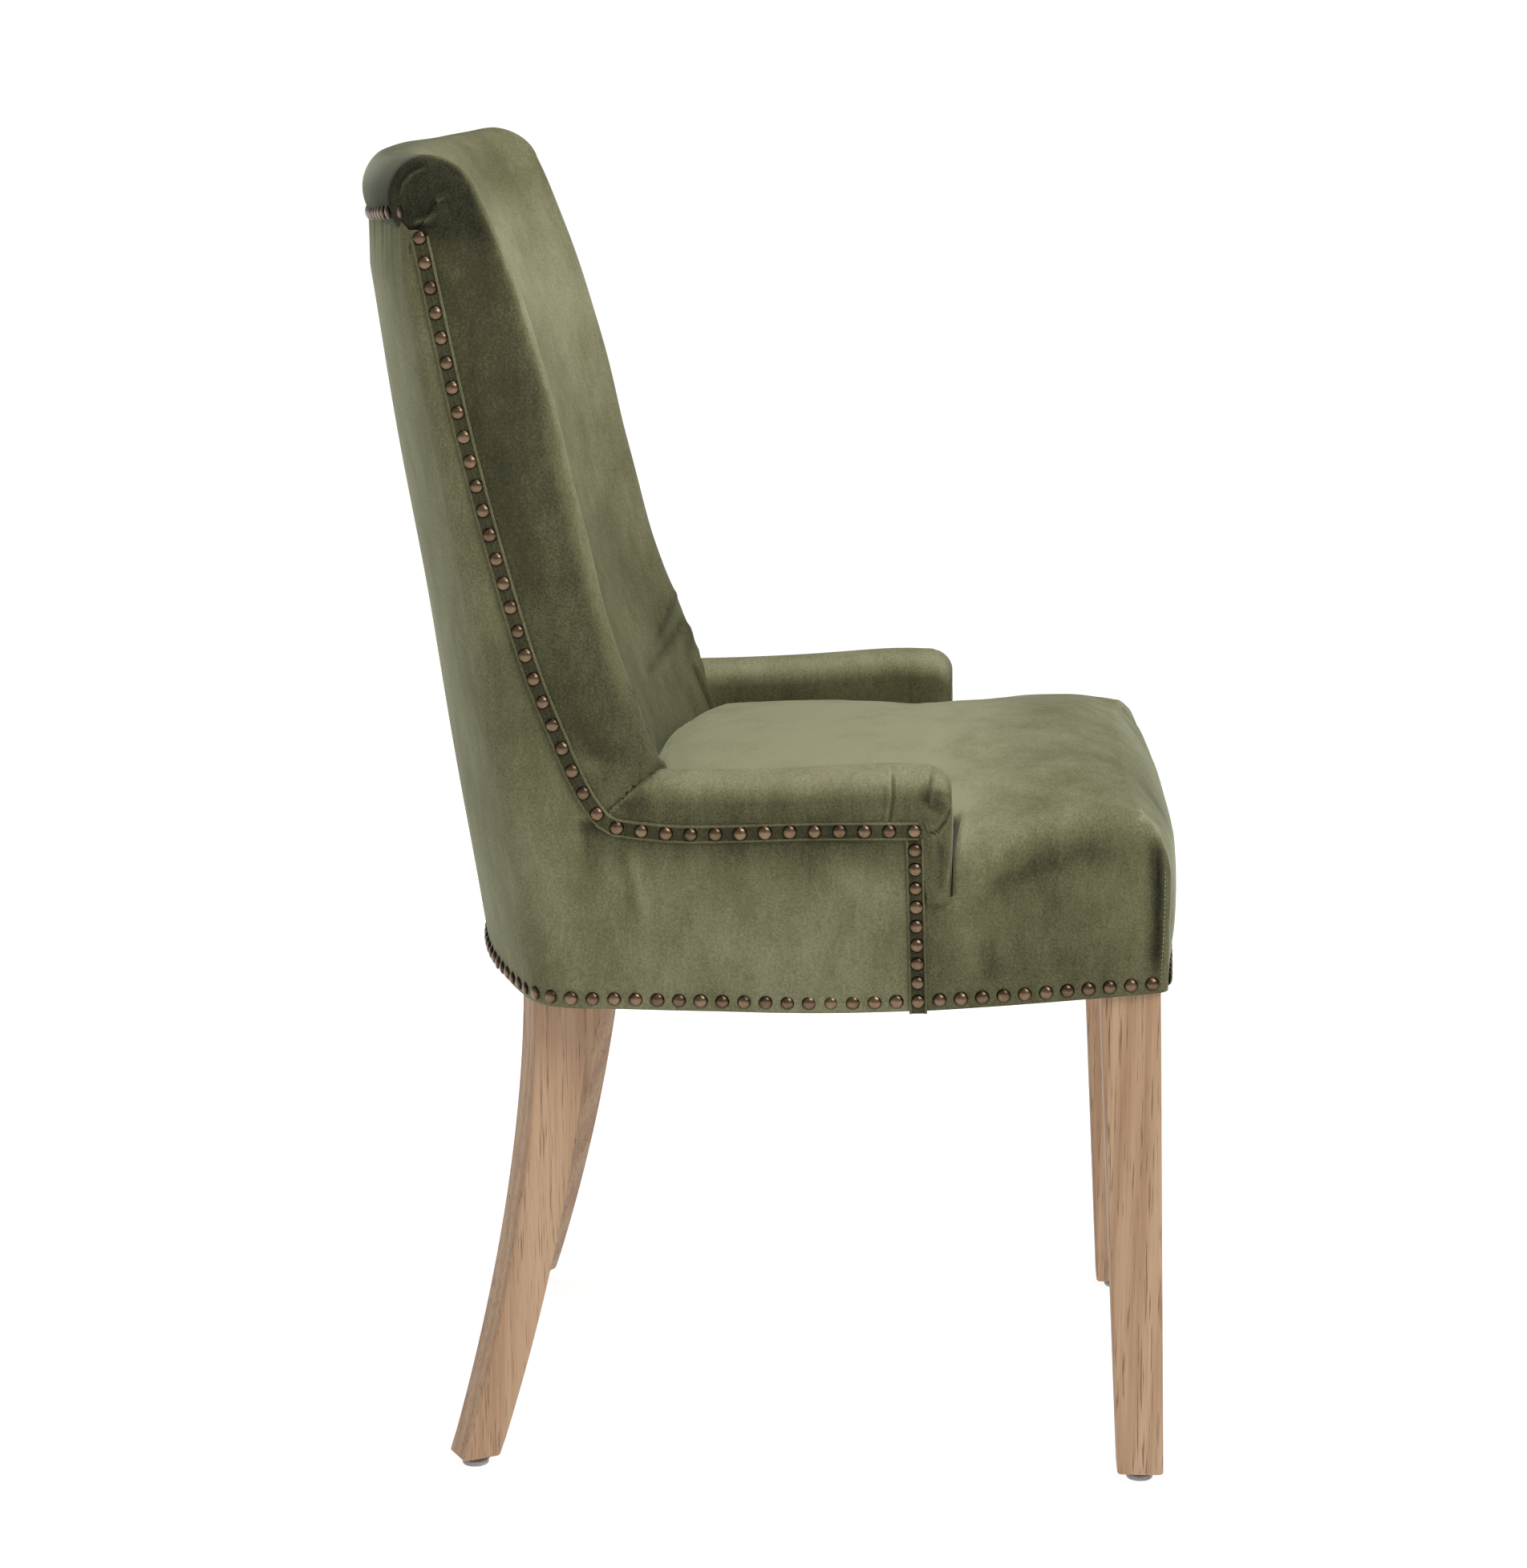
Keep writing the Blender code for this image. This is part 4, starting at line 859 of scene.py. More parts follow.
def seat_side(y, z):
    """The seat's side, in front of the arm: flush with the panel behind, narrower in front."""
    panel = side_x(COLUMN_Y, min(z, 0.5)) - 0.0004
    t = float(ease((COLUMN_Y - y) / (COLUMN_Y - SEAT_FRONT_Y)))
    share = mix(t, (COLUMN_Y - y) / (COLUMN_Y - SEAT_FRONT_Y), 0.6)
    belly = 0.0022 * math.sin(math.pi * min(max((z - 0.385) / 0.12, 0), 1)) ** 2 * t
    return mix(panel, SEAT_SIDE_FRONT, share) + belly


def seat_front(x, z):
    """The seat's front face, bowed forward in plan and a little in profile."""
    bow = SEAT_FRONT_BOW * max(1 - (x / SEAT_SIDE_FRONT) ** 2, 0)
    belly = 0.0008 * math.sin(math.pi * min(max((z - 0.385) / 0.11, 0), 1)) ** 2
    return SEAT_FRONT_Y - bow - belly + 0.0008


def crown_z(x, y):
    """The crowned top of the seat."""
    half = mix(side_x(COLUMN_Y, 0.5), arm_inner_x(-0.1), float(ease((y + 0.21) / 0.08)))
    return SEAT_EDGE_Z + along(SEAT_CROWN, y) * (1 - min(abs(x) / half, 1) ** 2)


def seat_outline():
    """Half the seat's plan, front middle to rear middle.

    Each step gives its kind, its place along that kind, the shoulder's run inward and upward, and how
    much of the shoulder is a straight slope instead of a round."""
    steps = []
    for x in spread(0, SEAT_SIDE_FRONT - SEAT_CORNER, 46)[:-1]:
        out = (x / (SEAT_SIDE_FRONT - SEAT_CORNER)) ** 3
        steps.append(("front", x, mix(0.041, 0.025, out), mix(0.074, 0.048, out), mix(0.7, 0.46, out)))
    steps += [("corner", a, mix(0.025, ROUND_SIDE, a / math.pi * 2), mix(0.048, 0.026, a / math.pi * 2),
               mix(0.46, 0.2, a / math.pi * 2)) for a in spread(0, math.pi / 2, 11)[:-1]]
    for t in spread(0, 1, 34)[:-1]:
        near_arm = float(ease((t - 0.5) / 0.5))
        steps.append(("side", t, mix(ROUND_SIDE, ROUND_ARM, near_arm), mix(0.026, 0.044, near_arm), 0.2))
    steps += [("notch", t, mix(ROUND_ARM, ROUND_TUCK, t), mix(0.044, 0.014, t), 0.0)
              for t in spread(0, 1, 10)[:-1]]
    steps += [("inner", t, ROUND_TUCK, 0.014, 0.0) for t in spread(0, 1, 26)[:-1]]
    steps += [("rear", t, ROUND_TUCK, 0.014, 0.0) for t in spread(1, 0, 30)]
    return steps


def slit_depth(z):
    """How far the seat's side turns in beside the arm's front: a slit that closes towards its foot."""
    return 0.0045 * float(ease((z - SEAT_LEDGE_Z) / 0.04))


def seat_point(kind, t, z):
    """A point of the seat's plan at this height, with its inward direction."""
    notch = mix(SEAT_NOTCH_Y, COLUMN_Y + 0.0015, float(z < SEAT_LEDGE_Z + 0.0005))
    if kind == "front":
        return t, seat_front(t, z), (0, 1)
    if kind == "corner":
        side = seat_side(SEAT_SIDE_Y, z)
        x = side - SEAT_CORNER + SEAT_CORNER * math.sin(t)
        y = seat_front(side - SEAT_CORNER, z) + SEAT_CORNER * (1 - math.cos(t))
        return x, y, (-math.sin(t), math.cos(t))
    if kind == "side":
        y = mix(SEAT_SIDE_Y, notch, t)
        return seat_side(y, z) - slit_depth(z) * float(ease((t - 0.955) / 0.045)), y, (-1, 0)
    inner = arm_inner_x(notch) - SEAT_TUCK
    if kind == "notch":
        side = seat_side(notch, z) - slit_depth(z)
        turn = t * math.pi / 2 if t < 0.2 else 0
        return mix(side, inner, t), notch, (-math.cos(turn), 0)
    if kind == "inner":
        y = mix(notch, 0.046, t)
        return arm_inner_x(y) - SEAT_TUCK, y, (-1, 0)
    half = arm_inner_x(0.05) - SEAT_TUCK
    return half * t, inside_face_y(half * t, BACK_FOOT_Z) - SEAT_TUCK, (0, -1)


def seat_crest(kind, t, round_in):
    """Where the shoulder of this column ends and the crowned top begins."""
    half = SEAT_SIDE_FRONT - ROUND_SIDE - CREST_CORNER
    if kind == "front":
        return t * half / (SEAT_SIDE_FRONT - SEAT_CORNER), seat_front(t, 0.5) + round_in
    if kind == "corner":
        return half + CREST_CORNER * math.sin(t), CREST_FRONT_Y + CREST_CORNER * (1 - math.cos(t))
    if kind == "side":
        y = mix(CREST_FRONT_Y + CREST_CORNER, CREST_REAR_Y, t)
        return seat_side(y, 0.5) - round_in, y
    if kind == "notch":
        inner = arm_inner_x(SEAT_NOTCH_Y) - SEAT_TUCK - ROUND_TUCK
        return mix(seat_side(CREST_REAR_Y, 0.5) - ROUND_ARM, inner, t), CREST_REAR_Y
    if kind == "inner":
        y = mix(CREST_REAR_Y, 0.036, t)
        return arm_inner_x(y) - SEAT_TUCK - ROUND_TUCK, y
    x = (arm_inner_x(0.05) - SEAT_TUCK - ROUND_TUCK) * t
    return x, inside_face_y(x, BACK_FOOT_Z) - SEAT_TUCK - ROUND_TUCK


def seat_column(step):
    """One line of the seat's surface, from its lower edge up, over the shoulder, to the middle."""
    kind, t, round_in, round_up, straight = step
    crest = seat_crest(kind, t, round_in)
    top = crown_z(*crest)
    skirt = kind in ("front", "corner", "side")
    foot = base_z(seat_point(kind, t, 0.39)[1]) if skirt else SEAT_INNER_FOOT
    line = []
    for z in spread(foot, SEAT_LEDGE_Z, 15) + spread(SEAT_LEDGE_Z + 0.0012, top - round_up, 9):
        x, y, inward = seat_point(kind, t, z)
        line.append((x, y, z))
    soft = mix(0.55, 0.3, straight)
    for s in spread(0, 1, 15)[1:]:
        push = 3 * (1 - s) * s * s * (1 - soft) + s**3
        rise = 3 * (1 - s) ** 2 * s * soft + 3 * (1 - s) * s * s + s**3
        line.append((mix(x, crest[0], push), mix(y, crest[1], push), top - round_up + round_up * rise))
    for s in spread(0, 1, 32)[1:]:
        middle_x, middle_y = mix(crest[0], SEAT_MIDDLE[0], s), mix(crest[1], SEAT_MIDDLE[1], s)
        line.append((middle_x, middle_y, crown_z(middle_x, middle_y)))
    low_x, low_y = line[0][:2]
    hem = [(low_x + inward[0] * 0.004, low_y + inward[1] * 0.004, RECESS_Z if skirt else foot),
           (low_x + inward[0] * 0.0026, low_y + inward[1] * 0.0026, foot + 0.0006)]
    return hem + line


def seat():
    """The seat: crowned top, soft shoulders, and a skirt down to the nails."""
    columns = [seat_column(step) for step in seat_outline()]
    whole = columns + [[(-x, y, z) for x, y, z in column] for column in reversed(columns[1:-1])]
    rings = [[column[i] for column in whole] for i in range(len(whole[0]))]
    finish_seat(welded("seat_pad", [(rings, True)], capped=True))


def finish_seat(pad):
    """Fills the seat out, then creases, unevenness and pile."""
    swell(pad, pressure=2.2, cap=0.004, held=seat_held, voxel=0.008)
    tone = np.zeros(len(pad.data.vertices))
    uneven(pad, wave=0.16, high=0.0005, seed=5, keep=lambda p: ease((p[:, 2] - 0.395) / 0.03))
    for _, sign in SIDES:
        tone += relief(pad, SEAT_SIDE_FOLDS, (1, 2), seat_flank(sign))
    tone += relief(pad, SEAT_TOP_FOLDS, (0, 1), lambda p, n: n[:, 2] > 0.5)
    places, normals = vertex_arrays(pad.data)
    upward = ease((normals[:, 2] - 0.05) / 0.9)
    rear = ease((places[:, 1] + 0.24) / 0.14)
    # painted light from above: upward faces lighter, more so towards the back, on top of the pile's lie
    tone += 0.49 + upward * (0.2 + 0.38 * rear)
    set_tone(pad, tone)
    dress(pad, VELVET, "velvet", "seat_cover", "seat_foam")


def seat_held(places):
    """The hem, the tucks against arms and back, the corners in front of the arms, and the underside."""
    tucked = (places[:, 1] > SEAT_NOTCH_Y - 0.006) & (places[:, 2] < 0.492)
    corner = np.hypot(np.abs(places[:, 0]) - 0.214, places[:, 1] - SEAT_NOTCH_Y) < 0.04
    return (places[:, 2] < 0.402) | tucked | corner


def seat_flank(sign):
    """Picks the seat's side in front of the arm, up over its shoulder."""
    def where(places, normals):
        return (places[:, 0] * sign > 0.2) & (places[:, 1] < SEAT_NOTCH_Y) & (normals[:, 2] < 0.93)
    return where


SEAT_SIDE_FOLDS = (
    Fold([(-0.15, 0.456), (-0.165, 0.476), (-0.185, 0.493), (-0.215, 0.502)], 0.011, 0.002, -0.001, 0.1),
    Fold([(-0.15, 0.449), (-0.176, 0.472), (-0.215, 0.488), (-0.285, 0.493)], 0.011, -0.0014, 0.0, -0.18),
    Fold([(-0.156, 0.422), (-0.19, 0.44), (-0.24, 0.442), (-0.305, 0.44)], 0.03, -0.0008, 0.0, 0.03),
    Fold([(-0.148, 0.446), (-0.156, 0.428), (-0.158, 0.4)], 0.009, 0.0012, 0.0008, 0.12),
    Fold([(-0.16, 0.43), (-0.168, 0.415), (-0.175, 0.395)], 0.008, -0.001, 0.0, -0.14),
    Fold([(-0.289, 0.512), (-0.2925, 0.48), (-0.2935, 0.435), (-0.2925, 0.39)], 0.0054, -0.003, 0.0, -0.52),
    Fold([(-0.275, 0.5115), (-0.282, 0.516), (-0.288, 0.513), (-0.296, 0.498)], 0.0016, 0.001, 0.0, 0.26),
    Fold([(-0.2975, 0.496), (-0.299, 0.46), (-0.299, 0.392)], 0.0022, 0.001, 0.0, 0.16),
)
SEAT_TOP_FOLDS = (
    Fold([(-0.23, -0.15), (-0.15, -0.12), (-0.06, -0.11)], 0.02, 0.0012, 0.0012, 0.05),
    Fold([(-0.225, -0.185), (-0.16, -0.165), (-0.08, -0.17)], 0.022, -0.001, 0.0, -0.05),
    Fold([(0.225, -0.15), (0.14, -0.125), (0.07, -0.12)], 0.02, 0.0012, 0.0012, 0.05),
)


# ---------------------------------------------------------------- arms
def arm_outline(y, foot, inset=0.0, inset_top=0.0):
    """The arm's outline across: up its outer side, over the roll, down its inner side."""
    outer = side_x(y, ARM_NAIL_Z) + ARM_OUT - inset
    inner = side_x(y, ARM_NAIL_Z) + ARM_OUT - ARM_THICK + inset
    top = along(ARM_TOP, y) - inset_top
    radius = (outer - inner) / 2
    spring = top - radius
    middle = (outer + inner) / 2
    line = [(outer, z) for z in spread(foot, spring, 34)[:-1]]
    line += [(middle + radius * math.cos(a), spring + radius * math.sin(a)) for a in spread(0, math.pi, 44)]
    return line + [(inner, z) for z in spread(spring, ARM_FOOT_Z, 12)[1:]]


def arm_rings():
    """Outlines from the domed front facing back to the end that tucks under the wing."""
    rings = []
    for a in spread(math.pi / 2, 0.12, 22):
        y = ARM_FRONT_Y + ARM_END_ROUND * (1 - math.sin(a))
        near = min((y - ARM_FRONT_Y) / ARM_EDGE_ROUND, 1)
        edge = ARM_EDGE_ROUND * (1 - math.sqrt(max(1 - (1 - near) ** 2, 0)))
        crest = ARM_END_ROUND * (1 - math.cos(a)) * 0.92
        rings.append([(x, y, z) for x, z in arm_outline(-0.12, SEAT_LEDGE_Z - 0.004, edge, crest)])
    centre = np.mean(np.array(rings[0]), axis=0)
    caps = [[tuple(centre + (np.array(p) - centre) * s - np.array((0, 0.001 * (1 - s), 0))) for p in rings[0]]
            for s in (0.06, 0.25, 0.5, 0.75)]
    rings = caps + rings
    for y in spread(-0.1172, -0.08, 44) + spread(-0.078, ARM_REAR_Y, 70):
        rings.append([(x, y, z) for x, z in arm_outline(y, along(ARM_LINE, min(y, 0.1175)) - 0.0005)])
    return rings


def arm_held(places):
    """The trim line, the strip in front of it, the inner tuck and the end behind the wing."""
    return (places[:, 2] < 0.516) | (below_seam(places) < 0.004) & (places[:, 1] > 0.06)


def arm(side, sign):
    """A padded arm with its pleats, its front facing and the strip below it."""
    rings = [[(sign * x, y, z) for x, y, z in ring] for ring in arm_rings()]
    body = welded(f"arm_{side}", [(rings, True)], capped=True)
    places, normals = vertex_arrays(body.data)
    behind = ease(-below_seam(places) / 0.0035) * ease((places[:, 1] - 0.07) / 0.004)
    middle = side_x(0.05, ARM_NAIL_Z) + ARM_OUT - ARM_THICK / 2
    places[:, 0] = mix(places[:, 0], sign * middle + (places[:, 0] - sign * middle) * 0.35, behind)
    set_places(body.data, places)
    swell(body, pressure=1.2, cap=0.005, held=arm_held, voxel=0.005)
    uneven(body, wave=0.09, high=0.0006, seed=21)
    tone = relief(body, ARM_FOLDS, (1, 2), lambda p, n: n[:, 0] * sign > -0.25)
    places, normals = vertex_arrays(body.data)
    upward = ease((normals[:, 2] + 0.15) / 0.9)
    inward = ease((-normals[:, 0] * sign - 0.2) / 0.6)
    strip = ease((-0.124 - places[:, 1]) / 0.01) * ease((0.53 - places[:, 2]) / 0.02)
    strip *= ease((places[:, 2] - 0.448) / 0.02)
    # painted light: the roll's upward faces lighter. The inner face and the strip under the facing are also
    # made a little lighter
    tone += 0.36 + 0.46 * upward + 0.1 * inward + 0.08 * strip
    # painted shade in the tuck where the arm runs under the wing
    tone -= 0.16 * np.exp(-((below_seam(places) / 0.006) ** 2)) * (places[:, 1] > 0.068)
    set_tone(body, tone)
    dress(body, VELVET, "velvet", f"arm_{side}_cover", f"arm_{side}_foam", f"arm_{side}_facing")


ARM_FOLDS = (
    Fold([(-0.0975, 0.558), (-0.0985, 0.535), (-0.095, 0.511)], 0.0012, -0.0011, 0.001, -0.24),
    Fold([(-0.0955, 0.558), (-0.0963, 0.535), (-0.093, 0.511)], 0.0012, 0.0004, 0.0, 0.12),
    Fold([(-0.092, 0.548), (-0.0925, 0.53), (-0.09, 0.511)], 0.0012, -0.0005, 0.0, -0.1),
    Fold([(-0.1275, 0.559), (-0.1245, 0.54), (-0.1195, 0.515)], 0.0013, -0.0015, 0.0016, -0.26),
    Fold([(-0.1255, 0.559), (-0.1225, 0.54), (-0.118, 0.515)], 0.0014, 0.0006, 0.0, 0.1),
    Fold([(-0.1345, 0.542), (-0.132, 0.533), (-0.1275, 0.522)], 0.006, -0.0012, 0.0, -0.12),
    Fold([(-0.1425, 0.533), (-0.1385, 0.52), (-0.131, 0.5115), (-0.119, 0.507)],
         0.0012, -0.0015, 0.0012, -0.28),
    Fold([(-0.1425, 0.5355), (-0.1375, 0.5225), (-0.13, 0.5138), (-0.119, 0.509)], 0.0012, 0.0006, 0.0, 0.14),
    Fold([(-0.133, 0.508), (-0.135, 0.485), (-0.134, 0.46)], 0.0034, -0.0008, 0.0, -0.16),
    Fold([(-0.14, 0.518), (-0.1405, 0.49), (-0.1375, 0.462)], 0.001, 0.0003, 0.0, 0.18),
    Fold([(0.06, 0.545), (0.085, 0.53), (0.105, 0.518)], 0.01, -0.001, 0.0, -0.1),
)


# ---------------------------------------------------------------- trim
def walk(path, pitch):
    """Even stations about pitch apart along a 3-D path."""
    points = [Vector(p) for p in path]
    lengths = [0.0]
    for a, b in zip(points, points[1:]):
        lengths.append(lengths[-1] + (b - a).length)
    count = max(round(lengths[-1] / pitch), 1)
    stations = []
    for i in range(count + 1):
        target = lengths[-1] * i / count
        j = min(max(sum(target >= length for length in lengths) - 1, 0), len(points) - 2)
        part = (target - lengths[j]) / (lengths[j + 1] - lengths[j])
        stations.append(points[j].lerp(points[j + 1], part))
    return stations


# radius and height along a nail head's dome, as shares of the whole
DOME = ((1.0, 0.0), (1.0, 0.1), (0.95, 0.28), (0.84, 0.52), (0.66, 0.74), (0.44, 0.9), (0.2, 0.985),
        (0.04, 1.0))


def nails(name, places, node_name):
    """Domed nail heads, each at (place, outward, rotation), as one piece."""
    shape = bmesh.new()
    dome_light_and_tint = []
    rng = np.random.default_rng(len(places))
    for spot, up in places:
        up = up.normalized()
        tilt = Vector(rng.normal(size=3)) * 0.06
        up = (up + tilt).normalized()
        side = up.orthogonal().normalized()
        other = up.cross(side)
        size = NAIL_RADIUS * rng.uniform(0.97, 1.03)
        previous = None
        shade = rng.uniform(-0.1, 0.1)
        for radius, height in DOME:
            ring = []
            for k in range(NAIL_SIDES):
                a = 2 * math.pi * k / NAIL_SIDES
                offset = (side * math.cos(a) + other * math.sin(a)) * radius * size
                ring.append(shape.verts.new(spot + offset + up * (NAIL_HIGH * height)))
                # painted highlight towards each dome's crown and painted shade at its rim, plus a random tint
                # for each nail
                dome_light_and_tint.append(float(ease((height - 0.05) / 0.85)) * 0.7 + 0.04 + shade)
            if previous:
                bridge(shape, previous, ring)
            else:
                shape.faces.new(list(reversed(ring)))
            previous = ring
        shape.faces.new(previous)
    obj = new_object(name, smooth_mesh(name, shape))
    set_tone(obj, np.array(dome_light_and_tint))
    dress(obj, BRONZE, "bronze", node_name)


def outward(spot):
    """Outward direction of the cover near its lower edge, level with the floor."""
    centre_x, centre_y, _, _ = corner_arc(min(max(spot.z, 0.37), 0.99))
    if spot.y < centre_y:
        return Vector((math.copysign(1, spot.x), 0, 0))
    if abs(spot.x) < centre_x + 0.012:
        return Vector((spot.x / REAR_RADIUS, 1, 0)).normalized()
    return Vector((math.copysign(abs(spot.x) - centre_x, spot.x), spot.y - centre_y, 0)).normalized()


def column_y(z):
    """The column of nails leans forward a little towards its foot."""
    return mix(COLUMN_Y, COLUMN_HEAD_Y, (z - 0.375) / 0.135)


def arm_path():
    """The trim line along an arm, round the bend and up the back's side, for the left side."""
    out = ARM_OUT + 0.0004
    path = [(side_x(y, ARM_NAIL_Z) + out, y, along(ARM_LINE, y))
            for y in [COLUMN_HEAD_Y - 0.003] + spread(COLUMN_HEAD_Y, 0.09, 25)]
    path += [(along(HALF_WIDTH, z) + out, along(TRIM_BEND, z), z) for z in spread(0.5095, 0.565, 12)]
    path += [(along(HALF_WIDTH, z) + out, along(NAIL_LINE, z) - 0.001, z) for z in spread(0.572, 0.936, 50)]
    return path


def tape(name, path, up, node_name, cord):
    """A flat band between two welts, with a fine cord along its middle where cord is above 0."""
    points = [Vector(p) for p in path]
    half, welt = TAPE_WIDE / 2, 0.0011
    profile = [(-half, -0.0008), (-half, 0.0006)]
    profile += [(-half + welt * (1 + math.cos(a)), 0.0006 + TAPE_HIGH * 0.7 * math.sin(a))
                for a in spread(math.pi, 0.25, 6)]
    profile += [(-half * 0.55, 0.0006), (-0.0014, 0.0007), (-0.0009, 0.0007), (-0.0005, 0.0007 + cord * 0.7),
                (0, 0.0007 + cord)]
    profile += [(-u, v) for u, v in reversed(profile[:-1])]
    rings = []
    for i, spot in enumerate(points):
        forward = (points[min(i + 1, len(points) - 1)] - points[max(i - 1, 0)]).normalized()
        level = (up - forward * up.dot(forward)).normalized()
        across = forward.cross(level)
        rings.append([tuple(spot + across * u + level * v) for u, v in profile])
    band = welded(name, [(rings, True)], capped=True)
    places, _ = vertex_arrays(band.data)
    line = np.array([p[:] for p in points])
    starts, steps = line[:-1], line[1:] - line[:-1]
    nearest = np.full(len(places), np.inf)
    for start, step in zip(starts, steps):
        t = np.clip(((places - start) @ step) / (step @ step), 0, 1)
        nearest = np.minimum(nearest, np.linalg.norm(places - start - t[:, None] * step, axis=1))
    # painted highlight on the welts along both edges, lighter than the flat middle
    tone = 0.24 + 0.28 * ease((nearest - half * 0.7) / 0.001)
    tone += 0.55 * (cord > 0) * ease((0.0012 - nearest) / 0.0004)
    set_tone(band, tone)
    dress(band, VELVET, "velvet", node_name)


def trim():
    """The welted tapes of both sides and every row of nails."""
    for side, sign in SIDES:
        out = Vector((sign, 0, 0))
        path = [(sign * x, y, z) for x, y, z in arm_path()]
        bottom = base_z(COLUMN_Y) - 0.0014
        column = [(sign * (side_x(COLUMN_Y, z) + 0.0004), column_y(z), z) for z in spread(bottom, 0.506, 24)]
        tape(f"trim_back_{side}", path, out, f"arm_back_{side}_tape", 0.0007)
        tape(f"trim_front_{side}", column, out, f"arm_front_{side}_tape", 0.0)
        bend = next(i for i, p in enumerate(path) if p[2] > 0.518 and p[1] > 0.09)
        spots = walk(path[1:bend + 1], PITCH_ARM) + walk(path[bend:], PITCH_BACK)[1:]
        foot, head = Vector(column[0]), Vector(path[1])
        foot = foot.lerp(head, (base_z(COLUMN_Y) + BASE_NAIL_UP - foot.z) / (head.z - foot.z))
        spots += [head.lerp(foot, i / COLUMN_NAILS) for i in range(1, COLUMN_NAILS + 1)]
        nails(f"nails_arm_{side}", [(s + out * 0.0008, out) for s in spots], f"arm_{side}_nails")
    base_nails()
    scroll_nails()


def base_nails():
    """The row just above the cover's lower edge: round the back, then along each side of the seat."""
    up = BASE_NAIL_UP
    level = BASE_Z + up
    outline = shell_behind(level, along(NAIL_LINE, level))
    behind = [(x, y, level) for x, y in outline[::-1]]
    behind += [(side_x(y, BASE_Z), y, base_z(y) + up) for y in spread(0.112, COLUMN_Y, 30)]
    ahead = [(seat_side(y, 0.39), y, base_z(y) + up) for y in spread(COLUMN_Y, SEAT_FRONT_Y + 0.0125, 22)]
    spots = []
    for sign in (1, -1):
        rear, side_row = (walk([(sign * x, y, z) for x, y, z in line], PITCH_BASE)
                          for line in (behind, ahead))
        spots += rear[(0 if sign == 1 else 1):-1] + side_row[1:]
    nails("nails_base", [(s + outward(s) * 0.0002, outward(s)) for s in spots], "base_nails")
    low_z = base_z(SEAT_FRONT_Y) + up
    front = [(x, seat_front(x, 0.395), low_z) for x in spread(-0.232, 0.232, 40)]
    nails("nails_front", [(s, Vector((0, -1, 0))) for s in walk(front, PITCH_BASE)], "base_front_nails")


def scroll_nails():
    """The row under the scroll, round both rear corners to the trim up the back."""
    level = SCROLL_NAIL_Z
    outline = shell_behind(level, along(NAIL_LINE, level) + 0.004)
    half = []
    for x, y in outline[::-1]:
        if x > 0.216:
            break
        z = scroll_nail_z(min(x, SCROLL_HALF)) - 0.003
        drop = SCROLL_Z - z
        face = scroll_axis_y(x) + math.sqrt(max(SCROLL_RADIUS**2 - drop**2, 0))
        half.append((x, max(y, face if x < SCROLL_HALF - 0.006 else y) + 0.0002, z))
    spots = []
    for sign in (1, -1):
        walked = walk([(sign * x, y, z) for x, y, z in half], PITCH_SCROLL)
        spots += [(s, outward(s) + Vector((0, 0, -0.08))) for s in walked[sign < 0:]]
    nails("nails_scroll", spots, "scroll_nails")


# ---------------------------------------------------------------- stitches
def stitches():
    """Top stitching down the folded seam at each front corner of the seat."""
    for side, sign in SIDES:
        shape = bmesh.new()
        for z in spread(0.396, 0.478, STITCHES):
            y = STITCH_Y - 0.0016 * math.sin((z - 0.39) * 20)
            x = seat_side(y, z) + 0.0002
            rings = []
            for s in (-1.0, -0.55, 0.0, 0.55, 1.0):
                wide = STITCH_THICK / 2 * math.sqrt(max(1 - s * s, 0.02))
                ring = [(sign * (x + wide * math.cos(a)), y + wide * math.sin(a), z + s * STITCH_LONG / 2)
                        for a in spread(0, 2 * math.pi, 7)[:-1]]
                rings.append([shape.verts.new(p) for p in ring])
            for upper, lower in zip(rings, rings[1:]):
                bridge(shape, upper, lower)
            shape.faces.new(rings[0])
            shape.faces.new(rings[-1])
        bmesh.ops.recalc_face_normals(shape, faces=shape.faces)
        name = f"stitches_{side}"
        dress(new_object(name, smooth_mesh(name, shape)), STITCH, "velvet")


# ---------------------------------------------------------------- legs and glides
def rounded(points, radius, steps=5):
    """A flat convex outline with its corners rounded."""
    out = []
    count = len(points)
    for i in range(count):
        before, here, after = (Vector(points[j]) for j in (i - 1, i, (i + 1) % count))
        to_before, to_after = (before - here).normalized(), (after - here).normalized()
        start, end = here + to_before * radius, here + to_after * radius
        for t in spread(0, 1, steps):
            out.append((start * (1 - t) ** 2 + here * 2 * t * (1 - t) + end * t * t).to_tuple())
    return out


def leg(node_name, rings):
    """A leg with softly broken edges, through (height, four corners) stations."""
    body = [[(x, y, z) for x, y in rounded(corners, LEG_ROUND)] for z, corners in rings]
    z, corners = rings[0]
    centre = Vector((sum(c[0] for c in corners) / 4, sum(c[1] for c in corners) / 4))
    eased = [tuple(centre + (Vector(c) - centre) * 0.955) for c in corners]
    foot = [(x, y, z) for x, y in rounded(eased, LEG_ROUND)]
    body[0] = [(x, y, z + 0.0012) for x, y, _ in body[0]]
    made = welded(f"{node_name}_oak", [([foot] + body, True)], capped=True)
    made.data.set_sharp_from_angle(angle=math.radians(35))
    dress(made, OAK, "oak", node_name)


